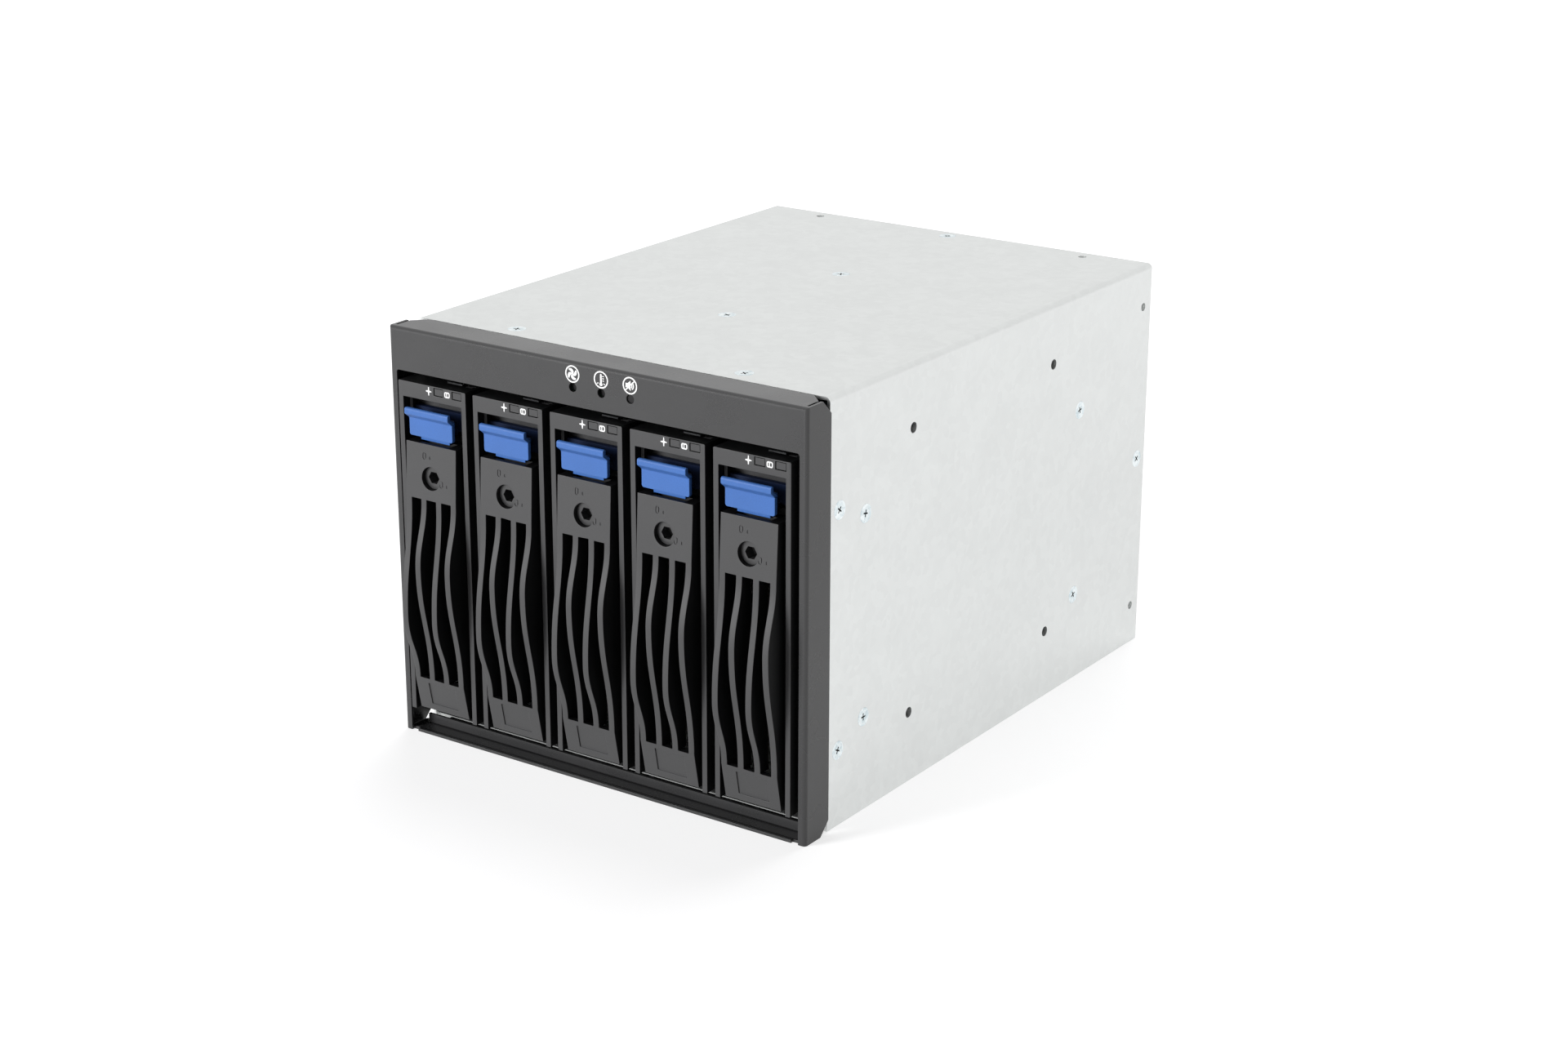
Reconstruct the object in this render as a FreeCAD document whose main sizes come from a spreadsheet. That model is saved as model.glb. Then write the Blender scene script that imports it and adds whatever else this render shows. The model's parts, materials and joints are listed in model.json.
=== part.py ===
import FreeCAD, Part
import math
import os
import re
import Sketcher

# Hot swap drive cage: five trays for 3.5 inch drives stand side by side in the space of
# three 5.25 inch bays.  +X right, +Y towards the back, +Z up, millimetres.
# The pieces are laid out with Y = 0 at the face of the bezel and Z = 0 under the cage, and
# every finished piece is then moved by middle_y so that the origin lies under the middle.

SIZES = [
    # outer shell
    ("cage_width", 146.0),        # standard width of a 5.25 inch device
    ("cage_height", 127.1),
    ("shell_wall", 1.0),
    ("shell_bend", 1.6),
    ("shell_front", 11.9),        # the shell starts just behind the flanges of the bezel
    ("rear_room", 24.2),          # from the backplane to the back of the shell
    ("shell_back", "=board_front + rear_room"),
    ("sheet_gap", 0.1),           # between sheets that lie on each other
    # side mounting holes of the device and the screws of the shell
    ("mount_hole", 1.6),
    ("mount_front", 54.1),
    ("mount_run", 79.25),
    ("mount_low", 21.84),
    ("mount_drop", 18.9),
    ("screw_head", 2.75),
    ("screw_shank", 1.45),
    ("screw_length", "=2 * shell_wall + sheet_gap"),
    ("screw_hole", 1.6),
    ("tab_screw_side", 17.0),
    ("tab_screw_top", 18.2),
    ("tab_screw_low", 23.1),
    ("tab_screw_drop", 33.0),
    ("tab_screw_in", 32.6),
    ("tab_screw_out", "=cage_width / 2 - tab_screw_in"),
    ("guide_screw_front", 30.0),
    ("guide_screw_back", "=guide_back - 19.5"),
    ("guide_screw_edge", 5.0),
    ("spine_screw_front", 66.2),
    ("spine_screw_run", 60.6),
    ("rear_screw_inset", 4.9),
    ("rear_screw_height", "=cage_height / 2"),
    ("pilot_hole", 1.3),
    ("pilot_in", 22.5),
    ("pilot_out", "=cage_width / 2 - pilot_in"),
    ("pilot_drop", 13.2),
    ("pilot_high", "=cage_height - pilot_drop"),
    ("pilot_low", 13.0),
    # front bezel
    ("bezel_lip", 0.75),
    ("bezel_width", "=cage_width + 2 * bezel_lip"),
    ("bezel_depth", 11.6),
    ("bezel_wall", 1.0),
    ("bezel_bend", 1.2),
    ("corner_cut", 4.0),
    ("seam_gap", 0.6),
    ("bezel_post", 2.55),
    ("window_half", "=bezel_width / 2 - bezel_post"),
    ("bezel_band", 13.0),
    ("window_top", "=cage_height - bezel_band"),
    ("window_corner", 0.8),
    ("notch_width", 2.3),
    ("tab_width", 12.0),
    ("tab_length", 13.0),
    ("sill_front", 5.4),
    ("sill_height", 3.1),
    ("sill_half", "=window_half - notch_width + 0.2"),
    ("sill_wall", 0.8),
    # indicators in the bezel
    ("lamp_hole", 1.3),
    ("lamp_rise", 5.5),
    ("lamp_height", "=window_top + lamp_rise"),
    ("lamp_first", -5.4),
    ("lamp_pitch", 10.1),
    ("lamp_clear", 0.1),
    ("lamp_recess", 1.2),
    ("button_recess", 0.5),
    ("button_travel", 0.5),
    # inner steel work
    ("pan_front", 13.2),
    ("pan_flange", 33.75),
    ("flange_front", 24.5),
    ("plate_drop", 0.7),
    ("guide_plate_low", "=window_top - plate_drop"),
    ("guide_plate_wall", 1.0),
    ("guide_flange_deep", 28.9),
    ("guide_flange_low", "=guide_plate_low - guide_flange_deep"),
    ("guide_back", "=board_front - 0.5"),
    ("spine_half", 8.0),
    ("spine_foot", 7.0),
    ("spine_start", 40.0),
    ("spine_length", 112.0),
    # moulded rails
    ("rail_front", 14.2),
    ("rail_base", 1.5),
    ("rail_fin", 0.5),
    ("rail_fin_height", 3.0),
    ("rail_land", 1.6),
    ("rail_land_in", 3.225),
    ("rail_land_out", "=tray_half - rail_land_in"),
    ("run_clear", 0.3),
    ("finger_front", 2.5),
    ("finger_in", 10.0),
    ("finger_side", "=tray_half - finger_in"),
    ("finger_wide", 5.6),
    ("finger_wall", 0.45),
    ("finger_foot", 6.0),
    # trays
    ("side_play", 0.2625),
    ("bay_pitch", "=2 * (window_half - side_play) / 5"),
    ("tray_space", 1.3625),
    ("tray_half", "=bay_pitch / 2 - tray_space"),
    ("tray_low", 8.4),
    ("tray_gap", 2.4),
    ("tray_high", "=window_top - tray_gap"),
    ("tray_front", -1.4),
    ("tray_depth", 14.8),
    ("tray_bar", 1.75),
    ("tray_wall", 1.5),
    ("tray_top_bar", 4.75),
    ("tray_foot", 1.2),
    ("tray_foot_front", 8.6),
    ("tray_corner", 0.4),
    ("drive_long", 147.0),
    ("sled_lap", 0.15),
    ("sled_space", 2.275),
    ("drive_wide", "=tray_high - tray_low + 2 * (sled_lap - sled_wall - drive_clear)"),
    ("drive_thick", "=bay_pitch - sled_space"),
    ("drive_clear", 0.2),
    ("drive_front", 14.0),
    ("drive_hole", 1.75),
    ("drive_hole_first", 28.5),
    ("drive_hole_run", 101.6),
    ("drive_hole_in", 6.35),
    ("sled_wall", 0.8),
    ("sled_short", 3.0),
    ("vent_wide", 20.0),
    ("vent_tall", 36.0),
    ("vent_pitch_y", 32.0),
    ("vent_pitch_z", 44.0),
    # status windows of a tray
    ("lens_wide", 3.5),
    ("lens_tall", 2.35),
    ("lens_drop", 1.6),
    ("lens_in_one", 10.275),
    ("lens_one", "=tray_half - lens_in_one"),
    ("lens_in_two", 3.4),
    ("lens_two", "=tray_half - lens_in_two"),
    ("lens_clear", 0.2),
    ("light_entry", 4.4),
    ("light_entry_wide", 2.9),
    # lever
    ("lever_in", 3.3),
    ("lever_half", "=tray_half - lever_in"),
    ("lever_raise", 0.8),
    ("lever_low", "=tray_low + lever_raise"),
    ("lever_drop", 17.6),
    ("lever_high", "=tray_high - lever_drop"),
    ("lever_skin", 2.0),
    ("lever_top_out", 2.6),
    ("lever_slot_out", 3.5),
    ("lever_low_out", 3.0),
    ("lever_foot_out", 0.9),
    ("wave_out", 7.3),
    ("wave_high", "=slot_low + (slot_high - slot_low) * 0.63"),
    ("wave_low", "=slot_low + (slot_high - slot_low) * 0.36"),
    ("slot_drop", 16.9),
    ("slot_high", "=lever_high - slot_drop"),
    ("slot_rise", 10.8),
    ("slot_low", "=lever_low + slot_rise"),
    ("rib_wide", 2.05),
    ("rib_back", 1.0),
    ("lever_back", 4.4),
    ("shelf_wall", 1.5),
    ("hinge_back", 4.6),
    ("hinge_rise", 4.2),
    ("hinge_height", "=tray_low + hinge_rise"),
    ("hinge_ear", 2.6),
    ("pin_radius", 1.0),
    ("pin_clear", 0.05),
    ("spring_outer", 1.9),
    ("spring_half", 3.0),
    ("spring_wire", 0.35),
    ("spring_arm", 7.0),
    # lock
    ("lock_drop", 10.2),
    ("lock_height", "=lever_high - lock_drop"),
    ("lock_radius", 3.45),
    ("lock_recess", 1.3),
    ("lock_long", 8.7),
    ("lock_key", 4.2),
    ("cam_reach", 6.2),
    ("cam_half", 1.4),
    ("cam_wall", 1.2),
    # latch
    ("latch_in", 4.6),
    ("latch_half", "=tray_half - latch_in"),
    ("latch_tall", 8.8),
    ("latch_low", "=latch_high - latch_tall"),
    ("latch_drop", 7.0),
    ("latch_high", "=tray_high - latch_drop"),
    ("latch_out", 2.4),
    ("latch_corner", 0.8),
    ("latch_skin", 1.3),
    ("lip_out", 4.3),
    ("lip_tall", 2.2),
    ("lip_half", "=latch_half + 0.1"),
    ("wing_low", "=latch_low + 0.7"),
    ("wing_high", "=latch_high - 1.3"),
    ("wing_front", 3.0),
    ("wing_back", 4.9),
    ("hook_half", "=latch_half - 2.7"),
    ("boss_radius", 0.6),
    ("boss_tall", 0.5),
    ("hook_front", -0.6),
    ("hook_wide", 2.4),
    ("latch_wall_back", 5.1),
    ("latch_wall_low", "=lever_high - 5.3"),
    ("latch_rib", 0.9),
    # backplane
    ("plug_long", 10.0),
    ("board_front", "=drive_front + drive_long + plug_long"),
    ("board_wall", 1.6),
    ("board_half", "=cage_width / 2 - 3.6"),
    ("board_low", 4.0),
    ("board_high", "=guide_plate_low - 0.8"),
    ("plug_wide", 7.4),
    ("plug_tall", 43.0),
    ("plug_in", 4.6),
    ("plug_drop", 14.0),
    ("port_out", "=(fan_size + cage_width) / 4"),
    ("port_low", 22.0),
    ("port_pitch", "=(cage_height - 55) / 4"),
    ("port_wide", 16.6),
    ("port_tall", 7.0),
    ("socket_low", 32.0),
    ("socket_pitch", "=(cage_height - 75) / 2"),
    ("socket_wide", "=(cage_width - fan_size) / 2 - 9.6"),
    ("socket_tall", 9.6),
    ("port_proud", 1.2),
    ("port_clear", 0.3),
    ("port_wall", 1.2),
    ("port_mouth", 7.0),
    ("tongue_half", 5.2),
    ("tongue_wall", 1.2),
    ("socket_wall", 1.5),
    ("socket_mouth", 13.0),
    ("socket_pin", 1.05),
    ("socket_pin_long", 7.5),
    ("socket_pin_pitch", 5.08),
    ("slit_half", 1.3),
    ("slit_deep", 6.0),
    ("buzzer_radius", 4.8),
    ("buzzer_tall", 5.5),
    ("buzzer_side", 30.0),
    ("chip_wide", 10.0),
    ("chip_tall", 8.0),
    ("chip_side", 20.0),
    ("upper_parts", 98.0),
    ("header_wide", 7.6),
    ("header_out", 8.0),
    ("jumper_side", 24.0),
    ("jumper_wide", 10.0),
    ("jumper_out", 7.0),
    ("lower_parts", 12.0),
    # rear panel and fan
    ("rear_wall", 1.0),
    ("rear_flange", 10.0),
    ("post_out", "=cage_width / 2 - 9"),
    ("post_low", 10.0),
    ("post_high", "=cage_height - 19.1"),
    ("post_radius", 2.9),
    ("post_cap", 1.6),
    ("fan_middle", "=cage_height / 2"),
    ("fan_size", 80.0),
    ("fan_deep", 25.0),
    ("duct_radius", 38.0),
    ("fan_corner", 4.0),
    ("fan_screw_run", 71.5),
    ("fan_screw_hole", 2.15),
    ("rotor_core", 15.5),
    ("stator_deep", 3.0),
    ("stator_arm", 1.5),
    ("rotor_play", 1.5),
    ("hub_in", 2.5),
    ("hub_wall", 1.6),
    ("axle_radius", 2.0),
    ("blade_tip", "=duct_radius - 2"),
    ("blade_in", 11.0),
    ("blade_wall", 1.4),
    ("root_chord", 12.0),
    ("tip_chord", 20.0),
    ("ring_first", 12.0),
    ("ring_step", 10.0),
    ("guard_eye", 4.0),
    ("bolt_head", 3.8),
    ("guard_wall", 1.6),
    ("guard_rib", 1.8),
    ("bolt_cap", 2.2),
]
NAMES = {name for name, number in SIZES}
BAYS = 5
BLADES = 7
ROOT_PITCH = 52.0
TIP_PITCH = 30.0
MIDDLE = "(shell_back + fan_deep + guard_wall + bolt_cap - wave_out) / 2"

doc = FreeCAD.newDocument("drive_cage")
sheet = doc.addObject("Spreadsheet::Sheet", "sizes")
for row, (name, number) in enumerate(SIZES, start=1):
    sheet.set("A%d" % row, name)
    sheet.setAlias("B%d" % row, name)
for row, (name, number) in enumerate(SIZES, start=1):
    sheet.set("B%d" % row, str(number))
doc.recompute()

pieces = []


def size(name):
    """The number held by one cell of the sheet."""
    return float(sheet.get(name))


def formula(text):
    """An expression in which every size is looked up in the sheet."""
    return re.sub(r"[a-z_]+", lambda word: "sizes." + word.group() if word.group() in NAMES
                  else word.group(), str(text))


def bind(thing, **sizes):
    """Tie properties to expressions; x, y and z stand for the place of the object."""
    for key, text in sizes.items():
        path = "Placement.Base." + key if key in ("x", "y", "z") else key
        thing.setExpression(path, formula(text))
    return thing


def box(name, x, y, z):
    """A block between two expressions along each axis."""
    block = doc.addObject("Part::Box", name)
    low_high = [x, y, z]
    for key, side, (low, high) in zip("xyz", ("Length", "Width", "Height"), low_high):
        bind(block, **{key: low, side: "(%s) - (%s)" % (high, low)})
    return block


TURNS = {
    "+x": FreeCAD.Rotation(FreeCAD.Vector(0, 1, 0), 90),
    "-x": FreeCAD.Rotation(FreeCAD.Vector(0, 1, 0), -90),
    "+y": FreeCAD.Rotation(FreeCAD.Vector(1, 0, 0), -90),
    "-y": FreeCAD.Rotation(FreeCAD.Vector(1, 0, 0), 90),
    "+z": FreeCAD.Rotation(),
    "-z": FreeCAD.Rotation(FreeCAD.Vector(1, 0, 0), 180),
}


def rod(name, radius, length, way, x, y, z):
    """A cylinder that starts at a point and runs along one axis."""
    part = doc.addObject("Part::Cylinder", name)
    part.Placement = FreeCAD.Placement(FreeCAD.Vector(), TURNS[way])
    return bind(part, Radius=radius, Height=length, x=x, y=y, z=z)


def cone(name, start, end, length, way, x, y, z):
    """A cone from one radius to another along one axis."""
    part = doc.addObject("Part::Cone", name)
    part.Placement = FreeCAD.Placement(FreeCAD.Vector(), TURNS[way])
    return bind(part, Radius1=start, Radius2=end, Height=length, x=x, y=y, z=z)


def fuse(name, parts):
    joined = doc.addObject("Part::MultiFuse", name)
    joined.Shapes = parts
    return joined


def group(name, parts):
    """Solids that stay separate in one node."""
    bundle = doc.addObject("Part::Compound", name)
    bundle.Links = parts
    return bundle


def cut(name, base, tools):
    """The base less the tools."""
    tool = tools[0] if len(tools) == 1 else group(name + "_tools", tools)
    taken = doc.addObject("Part::Cut", name)
    taken.Base = base
    taken.Tool = tool
    return taken


def finish(label, thing, x="0"):
    """Name a finished piece and move it into the frame of the cage."""
    thing.Label = label
    bind(thing, x=x, y="-(" + MIDDLE + ")")
    pieces.append(thing)
    return thing


PLANES = {"xy": "XY_Plane", "xz": "XZ_Plane", "yz": "YZ_Plane"}


def sketch(body, name, plane, outlines=(), circles=(), offset="0"):
    """A sketch on an origin plane: corners and circles are placed by expressions."""
    drawing = body.newObject("Sketcher::SketchObject", name)
    origin = [item for item in body.Origin.OriginFeatures if item.Role == PLANES[plane]][0]
    drawing.AttachmentSupport = [(origin, "")]
    drawing.MapMode = "FlatFace"
    drawing.setExpression("AttachmentOffset.Base.z", formula(offset))
    for corners in outlines:
        first = drawing.GeometryCount
        count = len(corners)
        spots = [FreeCAD.Vector(90 * math.cos(2 * math.pi * step / count),
                                90 * math.sin(2 * math.pi * step / count), 0)
                 for step in range(count)]
        for step in range(count):
            drawing.addGeometry(Part.LineSegment(spots[step], spots[(step + 1) % count]))
        for step in range(count):
            drawing.addConstraint(Sketcher.Constraint(
                "Coincident", first + step, 2, first + (step + 1) % count, 1))
        for step, corner in enumerate(corners):
            for kind, text, start in zip(("DistanceX", "DistanceY"), corner, spots[step]):
                index = drawing.addConstraint(Sketcher.Constraint(
                    kind, -1, 1, first + step, 1, start if abs(start) > 1 else 1.0))
                drawing.setExpression("Constraints[%d]" % index, formula(text))
    for x, y, radius in circles:
        index = drawing.addGeometry(Part.Circle(FreeCAD.Vector(5, 5, 0),
                                                FreeCAD.Vector(0, 0, 1), 1.0))
        for kind, text in (("DistanceX", x), ("DistanceY", y)):
            place = drawing.addConstraint(Sketcher.Constraint(kind, -1, 1, index, 3, 5.0))
            drawing.setExpression("Constraints[%d]" % place, formula(text))
        place = drawing.addConstraint(Sketcher.Constraint("Radius", index, 1.0))
        drawing.setExpression("Constraints[%d]" % place, formula(radius))
    return drawing


def rectangle(x_low, x_high, y_low, y_high):
    return [(x_low, y_low), (x_high, y_low), (x_high, y_high), (x_low, y_high)]


def pad(body, name, drawing, length, back=True):
    """Extrude a sketch; on the XZ plane, back makes it run towards +Y."""
    feature = body.newObject("PartDesign::Pad", name)
    feature.Profile = drawing
    feature.Reversed = back
    feature.setExpression("Length", formula(length))
    doc.recompute()
    return feature


def pocket(body, name, drawing, length=None, both=False, forward=False):
    """Cut a sketch away, through all or to a depth; from the XZ plane it runs towards +Y."""
    feature = body.newObject("PartDesign::Pocket", name)
    feature.Profile = drawing
    feature.Midplane = both
    feature.Reversed = forward
    if length is None:
        feature.Type = 1
    else:
        feature.setExpression("Length", formula(length))
    doc.recompute()
    return feature


def fillet(body, name, radius, chosen):
    """Round the edges of the body that the test picks."""
    tip = body.Tip
    edges = ["Edge%d" % number for number, edge in enumerate(tip.Shape.Edges, start=1)
             if chosen(edge)]
    feature = body.newObject("PartDesign::Fillet", name)
    feature.Base = (tip, edges)
    feature.setExpression("Radius", formula(radius))
    doc.recompute()
    return feature


def along(edge, axis):
    """True where a straight edge runs along an axis."""
    if len(edge.Vertexes) != 2 or edge.Curve.TypeId != "Part::GeomLine":
        return False
    way = edge.Vertexes[1].Point - edge.Vertexes[0].Point
    return abs(way.dot(axis)) > 0.999 * way.Length


X = FreeCAD.Vector(1, 0, 0)
Y = FreeCAD.Vector(0, 1, 0)
Z = FreeCAD.Vector(0, 0, 1)
NEAR = 0.01

# ------------------------------------------------------------------ screws of the shell
# Each place is a way, along which the screw points inwards, and the point at its head.
shell_side = "cage_width / 2"
shell_top = "cage_height"
guide_low = "pan_flange - guide_screw_edge"
guide_high = "guide_flange_low + guide_screw_edge"
rear_screw_y = "shell_back - rear_screw_inset"
side_screws = [
    ("tab_screw_side", "cage_height - tab_screw_drop"),
    ("tab_screw_side", "tab_screw_low"),
    ("guide_screw_front", guide_high),
    ("guide_screw_front", guide_low),
    ("guide_screw_back", guide_high),
    ("guide_screw_back", guide_low),
    (rear_screw_y, "rear_screw_height"),
]
top_screws = [
    ("tab_screw_out", "tab_screw_top"),
    ("-tab_screw_out", "tab_screw_top"),
    ("0", "spine_screw_front"),
    ("0", "spine_screw_front + spine_screw_run"),
    ("0", rear_screw_y),
]
screw_places = []
for y, z in side_screws:
    screw_places.append(("-x", shell_side, y, z))
    screw_places.append(("+x", "-" + shell_side, y, z))
for x, y in top_screws:
    screw_places.append(("-z", x, y, shell_top))

sinks = []
screws = []
for number, (way, x, y, z) in enumerate(screw_places):
    neck = "screw_head - shell_wall"
    sinks.append(cone("sink_%d" % number, "screw_head + pin_clear", neck + " + pin_clear",
                      "shell_wall", way, x, y, z))
    head = cone("head_%d" % number, "screw_head", neck, "shell_wall", way, x, y, z)
    shank = rod("shank_%d" % number, "screw_shank", "screw_length", way, x, y, z)
    screws.append(fuse("screw_%d" % number, [head, shank]))
finish("shell_screws", group("shell_screws_group", screws))

# ------------------------------------------------------------------ outer shell
# Galvanised sheet, top and sides in one piece.
shell = doc.addObject("PartDesign::Body", "shell_body")
inside = "cage_width / 2 - shell_wall"
profile = sketch(shell, "shell_profile", "xz", [[
    ("-cage_width / 2", "0"), ("-cage_width / 2", "cage_height"),
    ("cage_width / 2", "cage_height"), ("cage_width / 2", "0"), (inside, "0"),
    (inside, "cage_height - shell_wall"), ("-(%s)" % inside, "cage_height - shell_wall"),
    ("-(%s)" % inside, "0")]], offset="-shell_front")
pad(shell, "shell_sheet", profile, "shell_back - shell_front")
fillet(shell, "shell_bends", "shell_bend", lambda edge: along(edge, Y)
       and abs(edge.Vertexes[0].Z - size("cage_height")) < NEAR)
mount_high = "cage_height - mount_drop"
mount_back = "mount_front + mount_run"
mount_spots = [(y, z) for y in ("mount_front", mount_back) for z in ("mount_low", mount_high)]
pilot_spots = [(rear_screw_y, "pilot_high"), (rear_screw_y, "pilot_low")]
pocket(shell, "side_holes", sketch(
    shell, "side_hole_plan", "yz", circles=[(y, z, "mount_hole") for y, z in mount_spots]
    + [(y, z, "pilot_hole") for y, z in pilot_spots]), both=True)
pocket(shell, "top_holes", sketch(
    shell, "top_hole_plan", "xy", circles=[(x, rear_screw_y, "pilot_hole")
                                           for x in ("-pilot_out", "pilot_out")]), both=True)
finish("outer_shell", cut("shell_with_sinks", shell, sinks))

# ------------------------------------------------------------------ front bezel
# Black painted sheet: a face with four flanges, open at the folded corners.
bezel = doc.addObject("PartDesign::Body", "bezel_body")
bezel_side = "bezel_width / 2"
pad(bezel, "bezel_block", sketch(bezel, "bezel_outline", "xz", [rectangle(
    "-" + bezel_side, bezel_side, "0", "cage_height")]), "bezel_depth")
fillet(bezel, "bezel_bends", "bezel_bend", lambda edge: edge.BoundBox.YMax < NEAR
       and edge.BoundBox.ZMax > NEAR)
pocket(bezel, "bezel_hollow", sketch(bezel, "bezel_inner", "xz", [rectangle(
    "-(bezel_width / 2 - bezel_wall)", "bezel_width / 2 - bezel_wall", "bezel_wall",
    "cage_height - bezel_wall")], offset="-bezel_depth"), "bezel_depth - bezel_wall", forward=True)
pocket(bezel, "bezel_window", sketch(bezel, "window_outline", "xz", [rectangle(
    "-window_half", "window_half", "bezel_wall", "window_top")], offset="bezel_wall"),
    "3 * bezel_wall")
lamp_spots = ["lamp_first + %d * lamp_pitch" % step for step in range(3)]
pocket(bezel, "lamp_holes", sketch(bezel, "lamp_plan", "xz", circles=[
    (x, "lamp_height", "lamp_hole") for x in lamp_spots], offset="bezel_wall"),
    "3 * bezel_wall")
fillet(bezel, "window_corners", "window_corner", lambda edge: along(edge, Y)
       and abs(edge.Vertexes[0].Z - size("window_top")) < NEAR)
bezel_inner = "(bezel_width / 2 - bezel_wall)"
seams = []
for side, inner in (("left", ("-" + bezel_inner, "-" + bezel_inner + " + seam_gap")),
                    ("right", (bezel_inner + " - seam_gap", bezel_inner))):
    for level, ends in (("low", ("-1", "bezel_wall + 0.01")),
                        ("high", ("cage_height - bezel_wall - 0.01", "cage_height + 1"))):
        start = "bezel_wall + 0.1" if level == "low" else "bezel_bend + bezel_wall"
        seams.append(box("seam_%s_%s" % (side, level), inner, (start, "bezel_depth + 1"), ends))
# notches beside the posts, where the bottom flange is bent
for side, x_low, x_high in (("left", "-window_half", "-window_half + notch_width"),
                            ("right", "window_half - notch_width", "window_half")):
    seams.append(box("notch_" + side, (x_low, x_high), ("-1", "bezel_wall"),
                     ("-1", "bezel_wall + 0.01")))
# the free corners of all four flanges are cut off at 45 degrees
corner_tools = []
for side, x in (("left", "-" + bezel_side), ("right", bezel_side)):
    for level, height in (("low", "0"), ("high", "cage_height")):
        tool = doc.addObject("Part::Box", "corner_%s_%s" % (level, side))
        tool.Placement = FreeCAD.Placement(FreeCAD.Vector(), FreeCAD.Rotation(X, 45))
        corner_tools.append(bind(
            tool, Length="2 * bezel_wall", Width="corner_cut * sqrt(2)",
            Height="corner_cut * sqrt(2)", x=x + " - bezel_wall", y="bezel_depth",
            z=height + " - corner_cut"))
        tool = doc.addObject("Part::Box", "flat_corner_%s_%s" % (level, side))
        tool.Placement = FreeCAD.Placement(FreeCAD.Vector(), FreeCAD.Rotation(Z, 45))
        inner_x = x + (" + " if side == "left" else " - ") + "(bezel_wall + seam_gap)"
        corner_tools.append(bind(
            tool, Length="corner_cut * sqrt(2)", Width="corner_cut * sqrt(2)",
            Height="2 * bezel_wall", x=inner_x, y="bezel_depth - corner_cut",
            z=height + " - bezel_wall"))
tab_start = "bezel_depth / 2"
tab_end = "bezel_depth / 2 + tab_length + 4"
tabs = []
tab_holes = []
for side, x in (("left", "-tab_screw_out"), ("right", "tab_screw_out")):
    tabs.append(box("top_tab_" + side, (x + " - tab_width / 2", x + " + tab_width / 2"),
                    (tab_start, tab_end), ("cage_height - 2 * bezel_wall - sheet_gap",
                                           "cage_height - bezel_wall - sheet_gap")))
    tabs.append(box("top_step_" + side, (x + " - tab_width / 2", x + " + tab_width / 2"),
                    (tab_start, "bezel_depth"), ("cage_height - bezel_wall - sheet_gap - 0.5",
                                                 "cage_height - bezel_wall / 2")))
for x, y in top_screws[:2]:
    tab_holes.append(rod("top_tab_hole_" + ("left" if x[0] == "-" else "right"),
                         "screw_hole", "3 * bezel_wall", "-z", x, y, "cage_height"))
for step, (y, z) in enumerate(side_screws[:2]):
    for side, sign in (("left", "-"), ("right", "")):
        inner = "(%s - sheet_gap - bezel_wall)" % inside
        outer = "(%s - sheet_gap)" % inside
        ends = (sign + inner, sign + outer) if side == "right" else (sign + outer, sign + inner)
        flange = sign + "(bezel_width / 2 - bezel_wall / 2)"
        step_ends = (sign + inner, flange) if side == "right" else (flange, sign + inner)
        name = "%s_%d" % (side, step)
        tabs.append(box("side_tab_" + name, ends, (tab_start, tab_end),
                        (z + " - tab_width / 2", z + " + tab_width / 2")))
        tabs.append(box("side_step_" + name, step_ends, (tab_start, "bezel_depth"),
                        (z + " - tab_width / 2", z + " + tab_width / 2")))
        tab_holes.append(rod("side_tab_hole_" + name, "screw_hole", "5 * bezel_wall",
                             "+x" if side == "left" else "-x",
                             "-cage_width / 2" if side == "left" else "cage_width / 2", y, z))
bezel_open = cut("bezel_with_corners", bezel, seams + corner_tools)
finish("front_bezel", cut("bezel_with_tabs", fuse("bezel_and_tabs", [bezel_open] + tabs),
                          tab_holes))

# A small black angle lies on the bottom flange and stiffens it.
sill = doc.addObject("PartDesign::Body", "sill_body")
pad(sill, "sill_sheet", sketch(sill, "sill_profile", "yz", [[
    ("sill_front", "bezel_wall"), ("bezel_depth - 0.4", "bezel_wall"),
    ("bezel_depth - 0.4", "bezel_wall + sill_wall"),
    ("sill_front + sill_wall", "bezel_wall + sill_wall"),
    ("sill_front + sill_wall", "bezel_wall + sill_height"),
    ("sill_front", "bezel_wall + sill_height")]], offset="-(sill_half - corner_cut)"),
    "2 * (sill_half - corner_cut)", back=False)
pad(sill, "sill_ends", sketch(sill, "sill_end_profile", "yz", [rectangle(
    "sill_front", "sill_front + sill_wall", "bezel_wall", "bezel_wall + sill_height")],
    offset="-sill_half"), "2 * sill_half", back=False)
fillet(sill, "sill_bend", "sill_wall * 0.6", lambda edge: along(edge, X)
       and abs(edge.Vertexes[0].Y - size("sill_front")) < NEAR
       and abs(edge.Vertexes[0].Z - size("bezel_wall")) < NEAR)
finish("sill_angle", sill)

# ------------------------------------------------------------------ floor pan
pan = doc.addObject("PartDesign::Body", "pan_body")
pan_side = "(cage_width / 2 - shell_wall - sheet_gap)"
pad(pan, "pan_floor", sketch(pan, "pan_plan", "xz", [rectangle(
    "-" + pan_side, pan_side, "0", "shell_wall")], offset="-pan_front"),
    "shell_back - rear_wall - sheet_gap - pan_front")
pad(pan, "pan_channel", sketch(pan, "pan_profile", "xz", [[
    ("-" + pan_side, "0"), ("-" + pan_side, "pan_flange"),
    ("-" + pan_side + " + shell_wall", "pan_flange"),
    ("-" + pan_side + " + shell_wall", "shell_wall"),
    (pan_side + " - shell_wall", "shell_wall"), (pan_side + " - shell_wall", "pan_flange"),
    (pan_side, "pan_flange"), (pan_side, "0")]], offset="-flange_front"),
    "guide_back - flange_front")
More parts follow.
